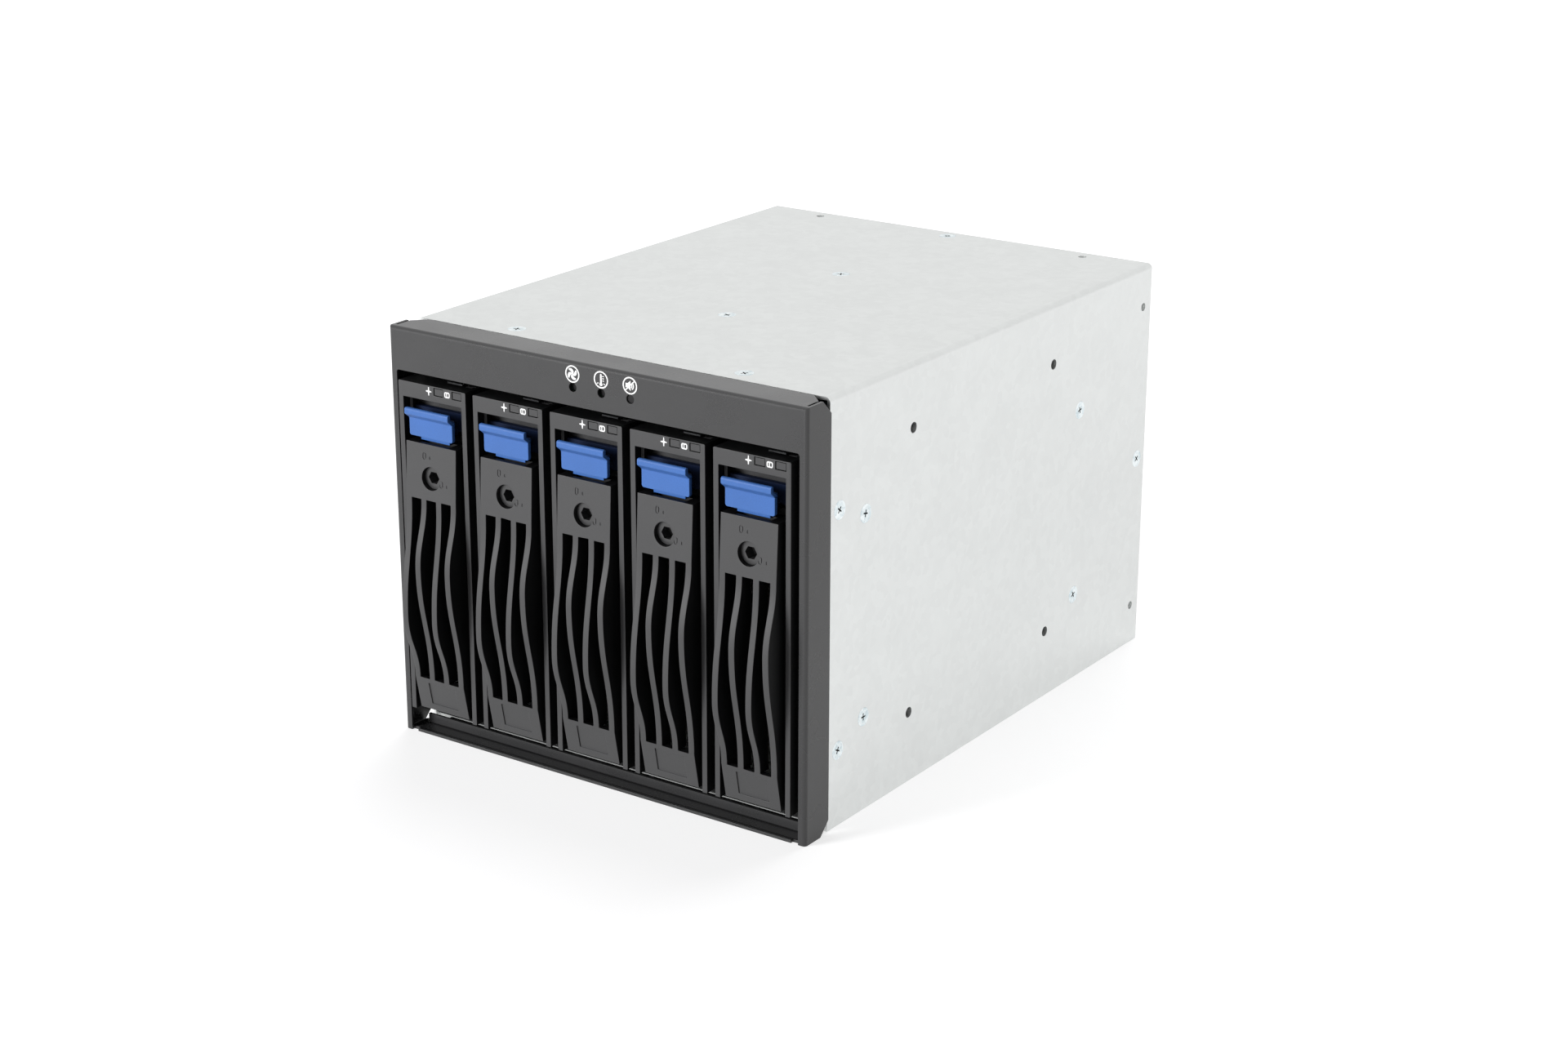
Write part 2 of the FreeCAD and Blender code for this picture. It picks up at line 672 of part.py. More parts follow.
fillet(pan, "pan_bends", "shell_wall * 0.8", lambda edge: along(edge, Y)
       and edge.Vertexes[0].Z < NEAR and edge.Length > size("guide_back") / 2
       and abs(abs(edge.Vertexes[0].X) - size("cage_width") / 2 + size("shell_wall")
               + size("sheet_gap")) < NEAR)
pocket(pan, "pan_holes", sketch(pan, "pan_hole_plan", "yz", circles=[
    (y, "mount_low", "mount_hole + 0.4") for y in ("mount_front", mount_back)]
    + [(y, guide_low, "screw_hole") for y in ("guide_screw_front", "guide_screw_back")]),
    both=True)
finish("floor_pan", pan)

# ------------------------------------------------------------------ upper guide plate
plate = doc.addObject("PartDesign::Body", "plate_body")
plate_high = "guide_plate_low + guide_plate_wall"
pad(plate, "plate_channel", sketch(plate, "plate_profile", "xz", [[
    ("-" + pan_side, "guide_flange_low"), ("-" + pan_side, plate_high),
    (pan_side, plate_high), (pan_side, "guide_flange_low"),
    (pan_side + " - guide_plate_wall", "guide_flange_low"),
    (pan_side + " - guide_plate_wall", "guide_plate_low"),
    ("-" + pan_side + " + guide_plate_wall", "guide_plate_low"),
    ("-" + pan_side + " + guide_plate_wall", "guide_flange_low")]], offset="-flange_front"),
    "guide_back - flange_front")
pad(plate, "plate_front", sketch(plate, "plate_front_plan", "xz", [rectangle(
    "-window_half + 1", "window_half - 1", "guide_plate_low", plate_high)],
    offset="-rail_front"), "flange_front - rail_front")
pocket(plate, "plate_holes", sketch(plate, "plate_hole_plan", "yz", circles=[
    (y, mount_high, "mount_hole + 0.4") for y in ("mount_front", mount_back)]
    + [(y, guide_high, "screw_hole") for y in ("guide_screw_front", "guide_screw_back")]),
    both=True)
finish("upper_guide_plate", plate)

# A hat-shaped spine ties the guide plate to the top of the shell.
spine = doc.addObject("PartDesign::Body", "spine_body")
spine_top = "cage_height - shell_wall - sheet_gap"
spine_side = "spine_half"
foot_side = "(spine_half + spine_foot)"
pad(spine, "spine_sheet", sketch(spine, "spine_profile", "xz", [[
    ("-" + foot_side, plate_high), ("-" + foot_side, plate_high + " + shell_wall"),
    ("-" + spine_side, plate_high + " + shell_wall"), ("-" + spine_side, spine_top),
    (spine_side, spine_top), (spine_side, plate_high + " + shell_wall"),
    (foot_side, plate_high + " + shell_wall"), (foot_side, plate_high),
    (spine_side + " - shell_wall", plate_high),
    (spine_side + " - shell_wall", spine_top + " - shell_wall"),
    ("-" + spine_side + " + shell_wall", spine_top + " - shell_wall"),
    ("-" + spine_side + " + shell_wall", plate_high)]], offset="-spine_start"), "spine_length")
pocket(spine, "spine_holes", sketch(spine, "spine_hole_plan", "xy", circles=[
    ("0", y, "screw_hole") for x, y in top_screws[2:4]],
    offset="cage_height"), "3 * shell_wall")
finish("top_spine", spine)

# ------------------------------------------------------------------ moulded rails
# Lands carry the sleds and low fins keep them apart.
sled_low = "(tray_low - sled_lap)"
sled_high = "(tray_high + sled_lap)"


def bay_middle(number):
    return "(%d * bay_pitch)" % (number - (BAYS - 1) // 2)


def rails(name, label, base_low, base_high, land_end, fin_end):
    """One comb of rails: a thin base with lands under each sled and fins between them."""
    body = doc.addObject("PartDesign::Body", name)
    end = "(2 * bay_pitch + bay_pitch / 2)"
    pad(body, name + "_base", sketch(body, name + "_base_plan", "xz", [rectangle(
        "-" + end + " + rail_fin", end + " - rail_fin", base_low, base_high)],
        offset="-rail_front"), "guide_back - rail_front - run_clear")
    start = base_high if label == "lower_rails" else base_low
    outlines = []
    for bay in range(BAYS):
        middle = bay_middle(bay)
        for side in ("-", "+"):
            centre = middle + " " + side + " rail_land_out"
            outlines.append(rectangle(centre + " - rail_land / 2", centre + " + rail_land / 2",
                                      start, land_end))
    for gap in range(BAYS - 1):
        centre = bay_middle(gap) + " + bay_pitch / 2"
        outlines.append(rectangle(centre + " - rail_fin / 2", centre + " + rail_fin / 2",
                                  start, fin_end))
    pad(body, name + "_lands", sketch(body, name + "_land_plan", "xz", outlines,
                                      offset="-rail_front"),
        "guide_back - rail_front - run_clear")
    finish(label, body)


rails("lower_comb", "lower_rails", "shell_wall", "shell_wall + rail_base",
      sled_low + " - run_clear", sled_low + " + rail_fin_height")
rails("upper_comb", "upper_rails", "guide_plate_low - rail_base / 2", "guide_plate_low",
      sled_high + " + run_clear", sled_high + " - rail_fin_height")

# One spring finger over each bay, hooked over the front edge of the guide plate.
finger = doc.addObject("PartDesign::Body", "finger_body")
finger_low = sled_high + " + run_clear + 0.05"
pad(finger, "finger_strip", sketch(finger, "finger_profile", "yz", [[
    ("finger_front", finger_low), ("rail_front - 0.5", finger_low),
    ("rail_front - 0.5", plate_high), ("rail_front + finger_foot", plate_high),
    ("rail_front + finger_foot", plate_high + " + finger_wall"),
    ("rail_front - 0.5 - finger_wall", plate_high + " + finger_wall"),
    ("rail_front - 0.5 - finger_wall", finger_low + " + finger_wall"),
    ("finger_front", finger_low + " + finger_wall")]], offset="finger_side"), "finger_wide",
    back=False)
fingers = []
for bay in range(BAYS):
    fingers.append(bind(group("finger_%d" % bay, [finger]), x=bay_middle(bay)))
finish("bay_fingers", group("bay_fingers_group", fingers))

# ------------------------------------------------------------------ tray front
# Moulded frame: thin side bars, a deeper top bar with two status windows, open middle.
front = doc.addObject("PartDesign::Body", "tray_front_body")
frame_start = "-tray_front"
pad(front, "frame_block", sketch(front, "frame_outline", "xz", [rectangle(
    "-tray_half", "tray_half", "tray_low", "tray_high")], offset="-tray_front"), "tray_depth")
fillet(front, "frame_corners", "tray_corner", lambda edge: along(edge, Y))
opening_half = "(tray_half - tray_bar)"
pocket(front, "frame_opening", sketch(front, "frame_opening_plan", "xz", [rectangle(
    "-" + opening_half, opening_half, "tray_low + tray_foot", "tray_high - tray_top_bar")],
    offset="-tray_front"), "tray_depth")
pocket(front, "frame_foot", sketch(front, "frame_foot_plan", "xz", [rectangle(
    "-" + opening_half, opening_half, "tray_low - 1", "tray_low + tray_foot + 0.5")],
    offset="-tray_front"), "tray_foot_front - tray_front")
pad(front, "latch_wall", sketch(front, "latch_wall_plan", "xz", [rectangle(
    "-" + opening_half + " - 0.5", opening_half + " + 0.5", "latch_wall_low",
    "tray_high - tray_top_bar + 0.5")], offset="-latch_wall_back"), "tray_wall")
pad(front, "latch_ribs", sketch(front, "latch_rib_plan", "xz", [
    rectangle("-" + opening_half + " - 0.5", "-" + opening_half + " + latch_rib",
              "wing_low", "tray_high - tray_top_bar + 0.5"),
    rectangle(opening_half + " - latch_rib", opening_half + " + 0.5",
              "wing_low", "tray_high - tray_top_bar + 0.5")],
    offset="-(wing_front - tray_wall)"), "tray_wall - 0.2")
pocket(front, "top_bar_relief", sketch(front, "relief_plan", "xz", [rectangle(
    "-" + opening_half, opening_half, "tray_high - tray_top_bar - 0.1",
    "tray_high - tray_wall")], offset="-(latch_wall_back + tray_wall)"), "tray_depth")
lens_low = "tray_high - lens_drop - lens_tall / 2"
lens_high = "tray_high - lens_drop + lens_tall / 2"
lens_ends = [(middle + " - lens_wide / 2", middle + " + lens_wide / 2")
             for middle in ("lens_one", "lens_two")]
bridge_front = "light_entry - 0.7"
bridge_back = "light_entry + 0.7"
pocket(front, "lens_windows", sketch(front, "lens_plan", "xz", [
    rectangle(low, high, lens_low, lens_high) for low, high in lens_ends],
    offset="-tray_front"), bridge_front + " - tray_front + 0.2")
pocket(front, "bridge_room", sketch(front, "bridge_plan", "xz", [rectangle(
    "lens_one - lens_wide / 2", "lens_two + lens_wide / 2", lens_low, lens_high)],
    offset="-(%s)" % bridge_front), "%s - (%s)" % (bridge_back, bridge_front))
entry_low = "lens_two + lens_wide / 2 - light_entry_wide"
pocket(front, "entry_room", sketch(front, "entry_plan", "xy", [rectangle(
    entry_low, "lens_two + lens_wide / 2", bridge_front, bridge_back)],
    offset="tray_high"), "lens_drop")
pocket(front, "pin_holes", sketch(front, "pin_hole_plan", "yz", circles=[
    ("hinge_back", "hinge_height", "pin_radius + 0.02")]), both=True)

# ------------------------------------------------------------------ tray sled
# Folded steel channel that holds a drive standing on its edge.
sled = doc.addObject("PartDesign::Body", "tray_sled_body")
sled_right = "(drive_thick / 2 + drive_clear + 0.35)"
web = "-(tray_half + sled_wall + 0.03)"
web_inner = "-(tray_half + 0.03)"
sled_start = "tray_front + tray_depth + run_clear"
sled_end = "drive_front + drive_long - sled_short"
pad(sled, "sled_channel", sketch(sled, "sled_profile", "xz", [[
    (web, sled_low), (sled_right, sled_low), (sled_right, sled_low + " + sled_wall"),
    (web_inner, sled_low + " + sled_wall"), (web_inner, sled_high + " - sled_wall"),
    (sled_right, sled_high + " - sled_wall"), (sled_right, sled_high), (web, sled_high)]],
    offset="-(%s)" % sled_start), "%s - (%s)" % (sled_end, sled_start))
pad(sled, "sled_nose", sketch(sled, "sled_nose_plan", "yz", [[
    ("tray_foot_front - 2", "tray_low + 8"), (sled_start + " + 1", "tray_low + 4"),
    (sled_start + " + 1", "tray_high - 4"), ("tray_foot_front - 2", "tray_high - 8")]],
    offset=web), "sled_wall", back=False)
vents = []
for column in range(4):
    for row in range(2):
        y = "drive_front + 22 + %d * vent_pitch_y" % column
        z = "(tray_low + tray_high) / 2 + %s * vent_pitch_z / 2" % ("-1" if row == 0 else "1")
        vents.append(rectangle(y + " - vent_wide / 2", y + " + vent_wide / 2",
                               z + " - vent_tall / 2", z + " + vent_tall / 2"))
pocket(sled, "sled_vents", sketch(sled, "vent_plan", "yz", vents, offset=web + " + 2"), "4")
drive_end = "drive_front + drive_long"
pocket(sled, "sled_screw_holes", sketch(sled, "sled_hole_plan", "xy", circles=[
    (web_inner + " + drive_hole_in", drive_end + " - drive_hole_first" + more, "drive_hole")
    for more in ("", " - drive_hole_run")], offset="tray_high + 5"))

# ------------------------------------------------------------------ lever
# Handle with four wave-shaped ribs; the ribs swell forward at two different heights.


def side_face(points, x):
    """A face in the plane of one side, from corners given as (y, z)."""
    corners = [FreeCAD.Vector(x, y, z) for y, z in points]
    return Part.Face(Part.makePolygon(corners + corners[:1]))


def swell(x, start, end):
    """A cubic S-curve between two points (y, z), upright at both ends."""
    reach = (end[1] - start[1]) * 0.42
    poles = [(start[0], start[1]), (start[0], start[1] + reach),
             (end[0], end[1] - reach), (end[0], end[1])]
    curve = Part.BezierCurve()
    curve.setPoles([FreeCAD.Vector(x, y, z) for y, z in poles])
    return curve.toShape()


def wave(crest, x):
    """The front edge of a rib: two S-curves that meet at its crest."""
    top = (-size("lever_slot_out"), size("slot_high"))
    peak = (-size("wave_out"), crest)
    foot = (-size("lever_low_out"), size("slot_low"))
    return [swell(x, top, peak), swell(x, peak, foot)]


def rib(left, crest, back, top, foot):
    """One rib as a slab with a wavy front; top and foot close it."""
    front_edges = wave(crest, left)
    corners = [FreeCAD.Vector(left, y, z) for y, z in foot + [(back, foot[-1][1]),
                                                              (back, top[0][1])] + top]
    route = [front_edges[1].Vertexes[1].Point] + corners + [front_edges[0].Vertexes[0].Point]
    lines = [Part.makeLine(one, other) for one, other in zip(route, route[1:])
             if (one - other).Length > NEAR]
    outline = Part.Wire(front_edges + lines)
    return Part.Face(outline).extrude(X * size("rib_wide"))


half = size("lever_half")
skin = size("lever_skin")
top_out = -size("lever_top_out")
slot_out = -size("lever_slot_out")
low_out = -size("lever_low_out")
foot_out = -size("lever_foot_out")
high = size("lever_high")
low = size("lever_low")
hinge = FreeCAD.Vector(0, size("hinge_back"), size("hinge_height"))
slot_wide = (2 * half - 4 * size("rib_wide")) / 3
rib_step = size("rib_wide") + slot_wide
crests = [size("wave_low"), size("wave_high"), size("wave_low"), size("wave_high")]
lever_parts = []
for number, crest in enumerate(crests):
    left = -half + number * rib_step
    if number in (0, 3):
        lever_parts.append(rib(left, crest, size("lever_back"), [(top_out, high)],
                               [(foot_out, low)]))
    else:
        lever_parts.append(rib(left, crest, size("rib_back"),
                               [(slot_out, size("slot_high"))], [(low_out, size("slot_low"))]))
upper_plate = side_face([(slot_out, size("slot_high")), (top_out, high),
                         (top_out + skin, high), (slot_out + skin, size("slot_high"))], -half)
lower_plate = side_face([(low_out, size("slot_low")), (foot_out, low), (foot_out + skin, low),
                         (low_out + skin, size("slot_low"))], -half)
shelf = side_face([(top_out, high), (size("lever_back"), high),
                   (size("lever_back"), high - size("shelf_wall")),
                   (top_out, high - size("shelf_wall"))], -half)
for flat_face in (upper_plate, lower_plate, shelf):
    lever_parts.append(flat_face.extrude(X * 2 * half))
for left in (-half, half - size("rib_wide")):
    ear = Part.makeCylinder(size("hinge_ear"), size("rib_wide"),
                            FreeCAD.Vector(left, hinge.y, hinge.z), X)
    cheek = side_face([(0.0, low), (hinge.y, hinge.z - size("hinge_ear")),
                       (hinge.y, hinge.z + size("hinge_ear")), (0.0, hinge.z + 8)], left)
    lever_parts += [ear, cheek.extrude(X * size("rib_wide"))]
lock_axis = FreeCAD.Vector(0, -size("wave_out"), size("lock_height"))
lock_boss = Part.makeCylinder(size("lock_radius") + 1.6, size("lever_back") + 2,
                              FreeCAD.Vector(0, -2, size("lock_height")), Y)
lever_shape = lever_parts[0].multiFuse(lever_parts[1:] + [lock_boss])
lock_hole = Part.makeCylinder(size("lock_radius") + size("pin_clear"), 20, lock_axis, Y)
pin_hole = Part.makeCylinder(size("pin_radius") + size("pin_clear"), 4 * half,
                             hinge - X * 2 * half, X)
hook_room = Part.makeBox(2 * size("hook_half") + 0.8, size("hook_wide") + 0.8, 4,
                         FreeCAD.Vector(-size("hook_half") - 0.4, size("hook_front") - 0.4,
                                        high - 2))
lean = math.atan2(low_out - foot_out, size("slot_low") - low)
label_box = Part.makeBox(10.2, 1, 7.2, FreeCAD.Vector(-4.6, -0.7, 0))
label_box.rotate(FreeCAD.Vector(), X, -math.degrees(lean))
label_box.translate(FreeCAD.Vector(0, foot_out + (low_out - foot_out) * 0.18, low + 2.2))
lever_shape = lever_shape.cut([lock_hole, pin_hole, hook_room, label_box]).removeSplitter()
lever = doc.addObject("Part::Feature", "tray_lever_shape")
lever.Shape = lever_shape

# ------------------------------------------------------------------ lock
# A quarter turn brings the cam from the side to behind the wall over it.
lock_front = "-lever_slot_out + lock_recess + 0.4"
barrel = rod("barrel", "lock_radius", "lock_long", "+y", "0", lock_front, "lock_height")
key = doc.addObject("Part::Prism", "key_socket")
key.Polygon = 6
key.Placement = FreeCAD.Placement(FreeCAD.Vector(), TURNS["+y"])
bind(key, Circumradius="lock_key / sqrt(3)", Height="4", x="0", y=lock_front + " - 0.5",
     z="lock_height")
cam_start = "%s + lock_long" % lock_front
cam = box("cam", ("-cam_half", "cam_reach"), (cam_start, cam_start + " + cam_wall"),
          ("lock_height - cam_half", "lock_height + cam_half"))
lock = cut("tray_lock_solid", fuse("barrel_and_cam", [barrel, cam]), [key])

# ------------------------------------------------------------------ latch
latch = doc.addObject("PartDesign::Body", "tray_latch_body")
pad(latch, "latch_plate", sketch(latch, "plate_outline", "xz", [rectangle(
    "-latch_half", "latch_half", "latch_low", "latch_high - lip_tall")], offset="latch_out"),
    "latch_skin")
fillet(latch, "latch_corners", "latch_corner", lambda edge: along(edge, Y)
       and abs(edge.Vertexes[0].Z - size("latch_low")) < NEAR)
lip_low = "latch_high - lip_tall"
pad(latch, "latch_lip", sketch(latch, "lip_profile", "yz", [[
    ("-latch_out", lip_low + " - 1.2"), ("-lip_out", lip_low + " + 0.3"),
    ("-lip_out", "latch_high - 0.4"), ("-lip_out + 0.4", "latch_high"),
    ("-lip_out + latch_skin", "latch_high"), ("-lip_out + latch_skin", lip_low + " + 0.6"),
    ("-latch_out + latch_skin", lip_low + " - 0.6"),
    ("-latch_out + latch_skin", lip_low + " - 1.2")]], offset="-lip_half"),
    "2 * lip_half", back=False)
pad(latch, "latch_neck", sketch(latch, "neck_outline", "xz", [rectangle(
    "-hook_half", "hook_half", "latch_low + 1", "latch_high - lip_tall - 1.5")],
    offset="latch_out - latch_skin + 0.3"), "latch_out - latch_skin + 0.3 + wing_back")
pad(latch, "latch_wings", sketch(latch, "wing_outline", "xz", [rectangle(
    "-(%s - 0.3)" % opening_half, "%s - 0.3" % opening_half, "wing_low", "wing_high")],
    offset="-wing_front"), "wing_back - wing_front")
pad(latch, "latch_hook", sketch(latch, "hook_outline", "xz", [rectangle(
    "-hook_half", "hook_half", "lever_high + run_clear", "latch_low + 1.5")],
    offset="-hook_front"), "hook_wide")

pad(latch, "latch_boss", sketch(latch, "boss_plan", "xz", circles=[
    ("(latch_half - 2.5)", "latch_low + 2.7", "boss_radius")], offset="boss_tall - wing_front"),
    "boss_tall + 0.2")

# ------------------------------------------------------------------ light pipes
prongs = [box("prong_%d" % step, (low + " + lens_clear", high + " - lens_clear"),
              ("tray_front + lens_clear", bridge_front + " + 0.5"),
              (lens_low + " + lens_clear", lens_high + " - lens_clear"))
          for step, (low, high) in enumerate(lens_ends)]
bridge = box("bridge", ("lens_one - lens_wide / 2 + lens_clear",
                        "lens_two + lens_wide / 2 - lens_clear"),
             (bridge_front + " + lens_clear", bridge_back + " - lens_clear"),
             (lens_low + " + lens_clear", lens_high + " - lens_clear"))
entry = box("entry", (entry_low + " + lens_clear", "lens_two + lens_wide / 2 - lens_clear"),
            (bridge_front + " + lens_clear", bridge_back + " - lens_clear"),
            (lens_high + " - 0.5", "tray_high"))
pipes = fuse("tray_light_pipes_solid", prongs + [bridge, entry])

# ------------------------------------------------------------------ hinge set
# Lever pin and the torsion spring that throws the lever out.
pin_reach = "(tray_half - 0.1)"
lever_pin = rod("lever_pin", "pin_radius", "2 * " + pin_reach, "+x", "-" + pin_reach,
                "hinge_back", "hinge_height")
coil = cut("coil", rod("coil_outer", "spring_outer", "2 * spring_half", "+x", "-spring_half",
                       "hinge_back", "hinge_height"),
           [rod("coil_inner", "spring_outer - 2 * spring_wire", "4 * spring_half", "+x",
                "-2 * spring_half", "hinge_back", "hinge_height")])
arm_radius = "spring_wire - 0.05"
arm_low = rod("spring_arm_low", arm_radius, "tray_foot_front - hinge_back + 1", "+y",
              "spring_half - 2 * spring_wire", "hinge_back",
              "hinge_height - spring_outer + spring_wire")
arm_high = rod("spring_arm_high", arm_radius, "spring_arm", "+z", "-spring_half + 2 * spring_wire",
               "hinge_back - spring_outer + spring_wire", "hinge_height")
spring = fuse("spring", [coil, arm_low, arm_high])
hinge_set = group("tray_hinge_set_solids", [lever_pin, spring])

for bay in range(BAYS):
    number = bay + 1
    for part, master in (("front", front), ("sled", sled), ("lever", lever), ("lock", lock),
                         ("latch", latch), ("light_pipes", pipes), ("hinge_set", hinge_set)):
        label = "tray_%d_%s" % (number, part)
        finish(label, group(label + "_copy", [master]), x=bay_middle(bay))

# ------------------------------------------------------------------ indicator board
# One strip behind the top band of the bezel lights the trays and the alarm lamps.
strip_front = "5.0"
strip_low = "window_top + 0.9"
strip_high = "cage_height - 2 * bezel_wall - 0.6"
strip_parts = [box("strip", ("-cage_width / 2 + 7", "cage_width / 2 - 7"),
                   (strip_front, strip_front + " + board_wall"),
                   (strip_low, strip_high))]
for bay in range(BAYS):
    left = bay_middle(bay) + " + " + entry_low
    strip_parts.append(box("tray_lamp_%d" % bay, (left, left + " + light_entry_wide"),
                           ("light_entry - 1.2", strip_front), ("window_top - 0.6",
                                                                "window_top + 3")))
for step, x in enumerate(("-cage_width / 2 + 13", "cage_width / 2 - 13")):
    strip_parts.append(rod("strip_post_%d" % step, "2", strip_front + " - bezel_wall", "+y",
                           x, "bezel_wall", "lamp_height"))
switch_front = "bezel_wall + 0.9 + button_travel + 1.4"
strip_parts.append(box("mute_switch", (lamp_spots[2] + " - 2.2", lamp_spots[2] + " + 2.2"),
                       (switch_front, strip_front), ("lamp_height - 2.2",
                                                     "lamp_height + 2.2")))
finish("indicator_board", group("indicator_board_group", strip_parts))
lenses = [rod("alarm_lens_%d" % step, "lamp_hole - lamp_clear", strip_front + " - lamp_recess",
              "+y", x, "lamp_recess", "lamp_height") for step, x in enumerate(lamp_spots[:2])]
finish("alarm_lenses", group("alarm_lenses_group", lenses))
button_end = "bezel_wall + 0.9 + 1.0"
cap = rod("button_cap", "lamp_hole - lamp_clear", button_end + " - button_recess", "+y",
          lamp_spots[2], "button_recess", "lamp_height")
collar = rod("button_collar", "lamp_hole + 0.7", "0.6", "+y", lamp_spots[2],
             "bezel_wall + 0.2", "lamp_height")
finish("mute_button", fuse("mute_button_solid", [cap, collar]))

# ------------------------------------------------------------------ backplane
board = doc.addObject("PartDesign::Body", "board_body")
board_back = "(board_front + board_wall)"
panel_inner = "(shell_back - rear_wall)"
pad(board, "board_sheet", sketch(board, "board_plan", "xz", [rectangle(
    "-board_half", "board_half", "board_low", "board_high")], offset="-board_front"),
    "board_wall")
slot_outlines = []
for gap in range(BAYS - 1):
    centre = bay_middle(gap) + " + bay_pitch / 2 - plug_in / 2"
    slot_outlines.append(rectangle(centre + " - 5.5", centre + " + 5.5",
                                   "fan_middle - 32", "fan_middle + 32"))
pocket(board, "board_slots", sketch(board, "board_slot_plan", "xz", slot_outlines[1:3],
                                    offset="-board_front + 1"), "board_wall + 2")
finish("backplane_board", board)

plugs = []
for bay in range(BAYS):
    centre = bay_middle(bay) + " - drive_thick / 2 + plug_in"
    middle = "((tray_low + tray_high) / 2 - plug_drop)"
    block = box("plug_block_%d" % bay, (centre + " - plug_wide / 2", centre + " + plug_wide / 2"),
                (drive_end + " + run_clear", "board_front"),
                (middle + " - plug_tall / 2", middle + " + plug_tall / 2"))
    slit = box("plug_slit_%d" % bay, (centre + " - slit_half", centre + " + slit_half"),
               (drive_end, drive_end + " + slit_deep"),
               (middle + " - plug_tall / 2 + slit_half", middle + " + plug_tall / 2 - slit_half"))
    plugs.append(cut("plug_%d" % bay, block, [slit]))
finish("drive_connectors", group("drive_connectors_group", plugs))

ports = []
port_holes = []
for step in range(BAYS):
    z = "(port_low + %d * port_pitch)" % step
    block = box("port_block_%d" % step, ("port_out - port_wide / 2", "port_out + port_wide / 2"),
                (board_back, "shell_back + port_proud"),
                (z + " - port_tall / 2", z + " + port_tall / 2"))
    mouth = box("port_mouth_%d" % step,
                ("port_out - port_wide / 2 + port_wall", "port_out + port_wide / 2 - port_wall"),
                ("shell_back + port_proud - port_mouth", "shell_back + port_proud + 1"),
                (z + " - port_tall / 2 + port_wall", z + " + port_tall / 2 - port_wall"))
    tongue = box("port_tongue_%d" % step, ("port_out - tongue_half", "port_out + tongue_half"),
                 ("shell_back + port_proud - port_mouth - 0.5",
                  "shell_back + port_proud - 1"),
                 (z + " - tongue_wall / 2", z + " + tongue_wall / 2"))
    ports.append(fuse("port_%d" % step, [cut("port_shell_%d" % step, block, [mouth]), tongue]))
    port_holes.append(rectangle("port_out - port_wide / 2 - port_clear",
                                "port_out + port_wide / 2 + port_clear",
                                z + " - port_tall / 2 - port_clear",
                                z + " + port_tall / 2 + port_clear"))
finish("data_ports", group("data_ports_group", ports))

sockets = []
for step in range(3):
    z = "(socket_low + %d * socket_pitch)" % step
    ends = ("-port_out - socket_wide / 2", "-port_out + socket_wide / 2")
    block = box("socket_block_%d" % step, ends, (board_back, "shell_back + port_proud"),
                (z + " - socket_tall / 2", z + " + socket_tall / 2"))
    mouth = box("socket_mouth_%d" % step, (ends[0] + " + socket_wall", ends[1] + " - socket_wall"),
                ("shell_back + port_proud - socket_mouth", "shell_back + port_proud + 1"),
                (z + " - socket_tall / 2 + socket_wall",
                 z + " + socket_tall / 2 - socket_wall"))
    pins = [rod("socket_pin_%d_%d" % (step, pin), "socket_pin", "socket_pin_long", "+y",
                "-port_out + %s * socket_pin_pitch" % (pin - 1.5),
                "shell_back + port_proud - socket_mouth - 0.5", z)
            for pin in range(4)]
    sockets.append(fuse("socket_%d" % step, [cut("socket_shell_%d" % step, block, [mouth])]
                        + pins))
    port_holes.append(rectangle(ends[0] + " - port_clear", ends[1] + " + port_clear",
                                z + " - socket_tall / 2 - port_clear",
                                z + " + socket_tall / 2 + port_clear"))
finish("power_sockets", group("power_sockets_group", sockets))

buzzer = rod("buzzer", "buzzer_radius", "buzzer_tall", "+y", "-buzzer_side", board_back,
             "upper_parts + 2")
header = box("fan_header", ("-header_wide / 2", "header_wide / 2"),
             (board_back, board_back + " + header_out"), ("lower_parts", "lower_parts + 6"))
jumpers = box("jumper_block", ("jumper_side", "jumper_side + jumper_wide"),
              (board_back, board_back + " + jumper_out"), ("lower_parts", "lower_parts + 5"))
chip = box("monitor_chip", ("chip_side", "chip_side + chip_wide"),
           (board_back, board_back + " + board_wall"), ("upper_parts", "upper_parts + chip_tall"))
finish("board_components", group("board_components_group", [buzzer, header, jumpers, chip]))

# ------------------------------------------------------------------ rear panel
rear = doc.addObject("PartDesign::Body", "rear_body")
rear_top = "(cage_height - shell_wall - sheet_gap)"
rear_low = "(shell_wall + sheet_gap)"
pad(rear, "rear_box", sketch(rear, "rear_outline", "xz", [rectangle(
    "-" + pan_side, pan_side, rear_low, rear_top)],
    offset="-(shell_back - rear_flange)"), "rear_flange")
pocket(rear, "rear_hollow", sketch(rear, "rear_inner", "xz", [rectangle(
    "-(%s - rear_wall)" % pan_side, "%s - rear_wall" % pan_side, rear_low + " - 1",
    rear_top + " - rear_wall")], offset="-(shell_back - rear_flange)"),
    "rear_flange - rear_wall")
fan_spots = [(x + " * fan_screw_run / 2", "fan_middle + " + z + " * fan_screw_run / 2")
             for x in ("-1", "1") for z in ("-1", "1")]
post_spots = [(x, z) for x in ("-post_out", "post_out") for z in ("post_low", "post_high")]
pocket(rear, "rear_openings", sketch(
    rear, "rear_opening_plan", "xz", port_holes,
    [("0", "fan_middle", "duct_radius")]
    + [(x, z, "fan_screw_hole") for x, z in fan_spots]
    + [(x, z, "screw_hole") for x, z in post_spots],
    offset="-(shell_back - rear_wall - 1)"), "rear_wall + 2")
pocket(rear, "rear_side_holes", sketch(rear, "rear_side_plan", "yz", circles=[
    (rear_screw_y, "rear_screw_height", "screw_hole")]), both=True)
pocket(rear, "rear_top_hole", sketch(rear, "rear_top_plan", "xy", circles=[
    ("0", rear_screw_y, "screw_hole")], offset="cage_height"), "4 * rear_wall")
finish("rear_panel", rear)

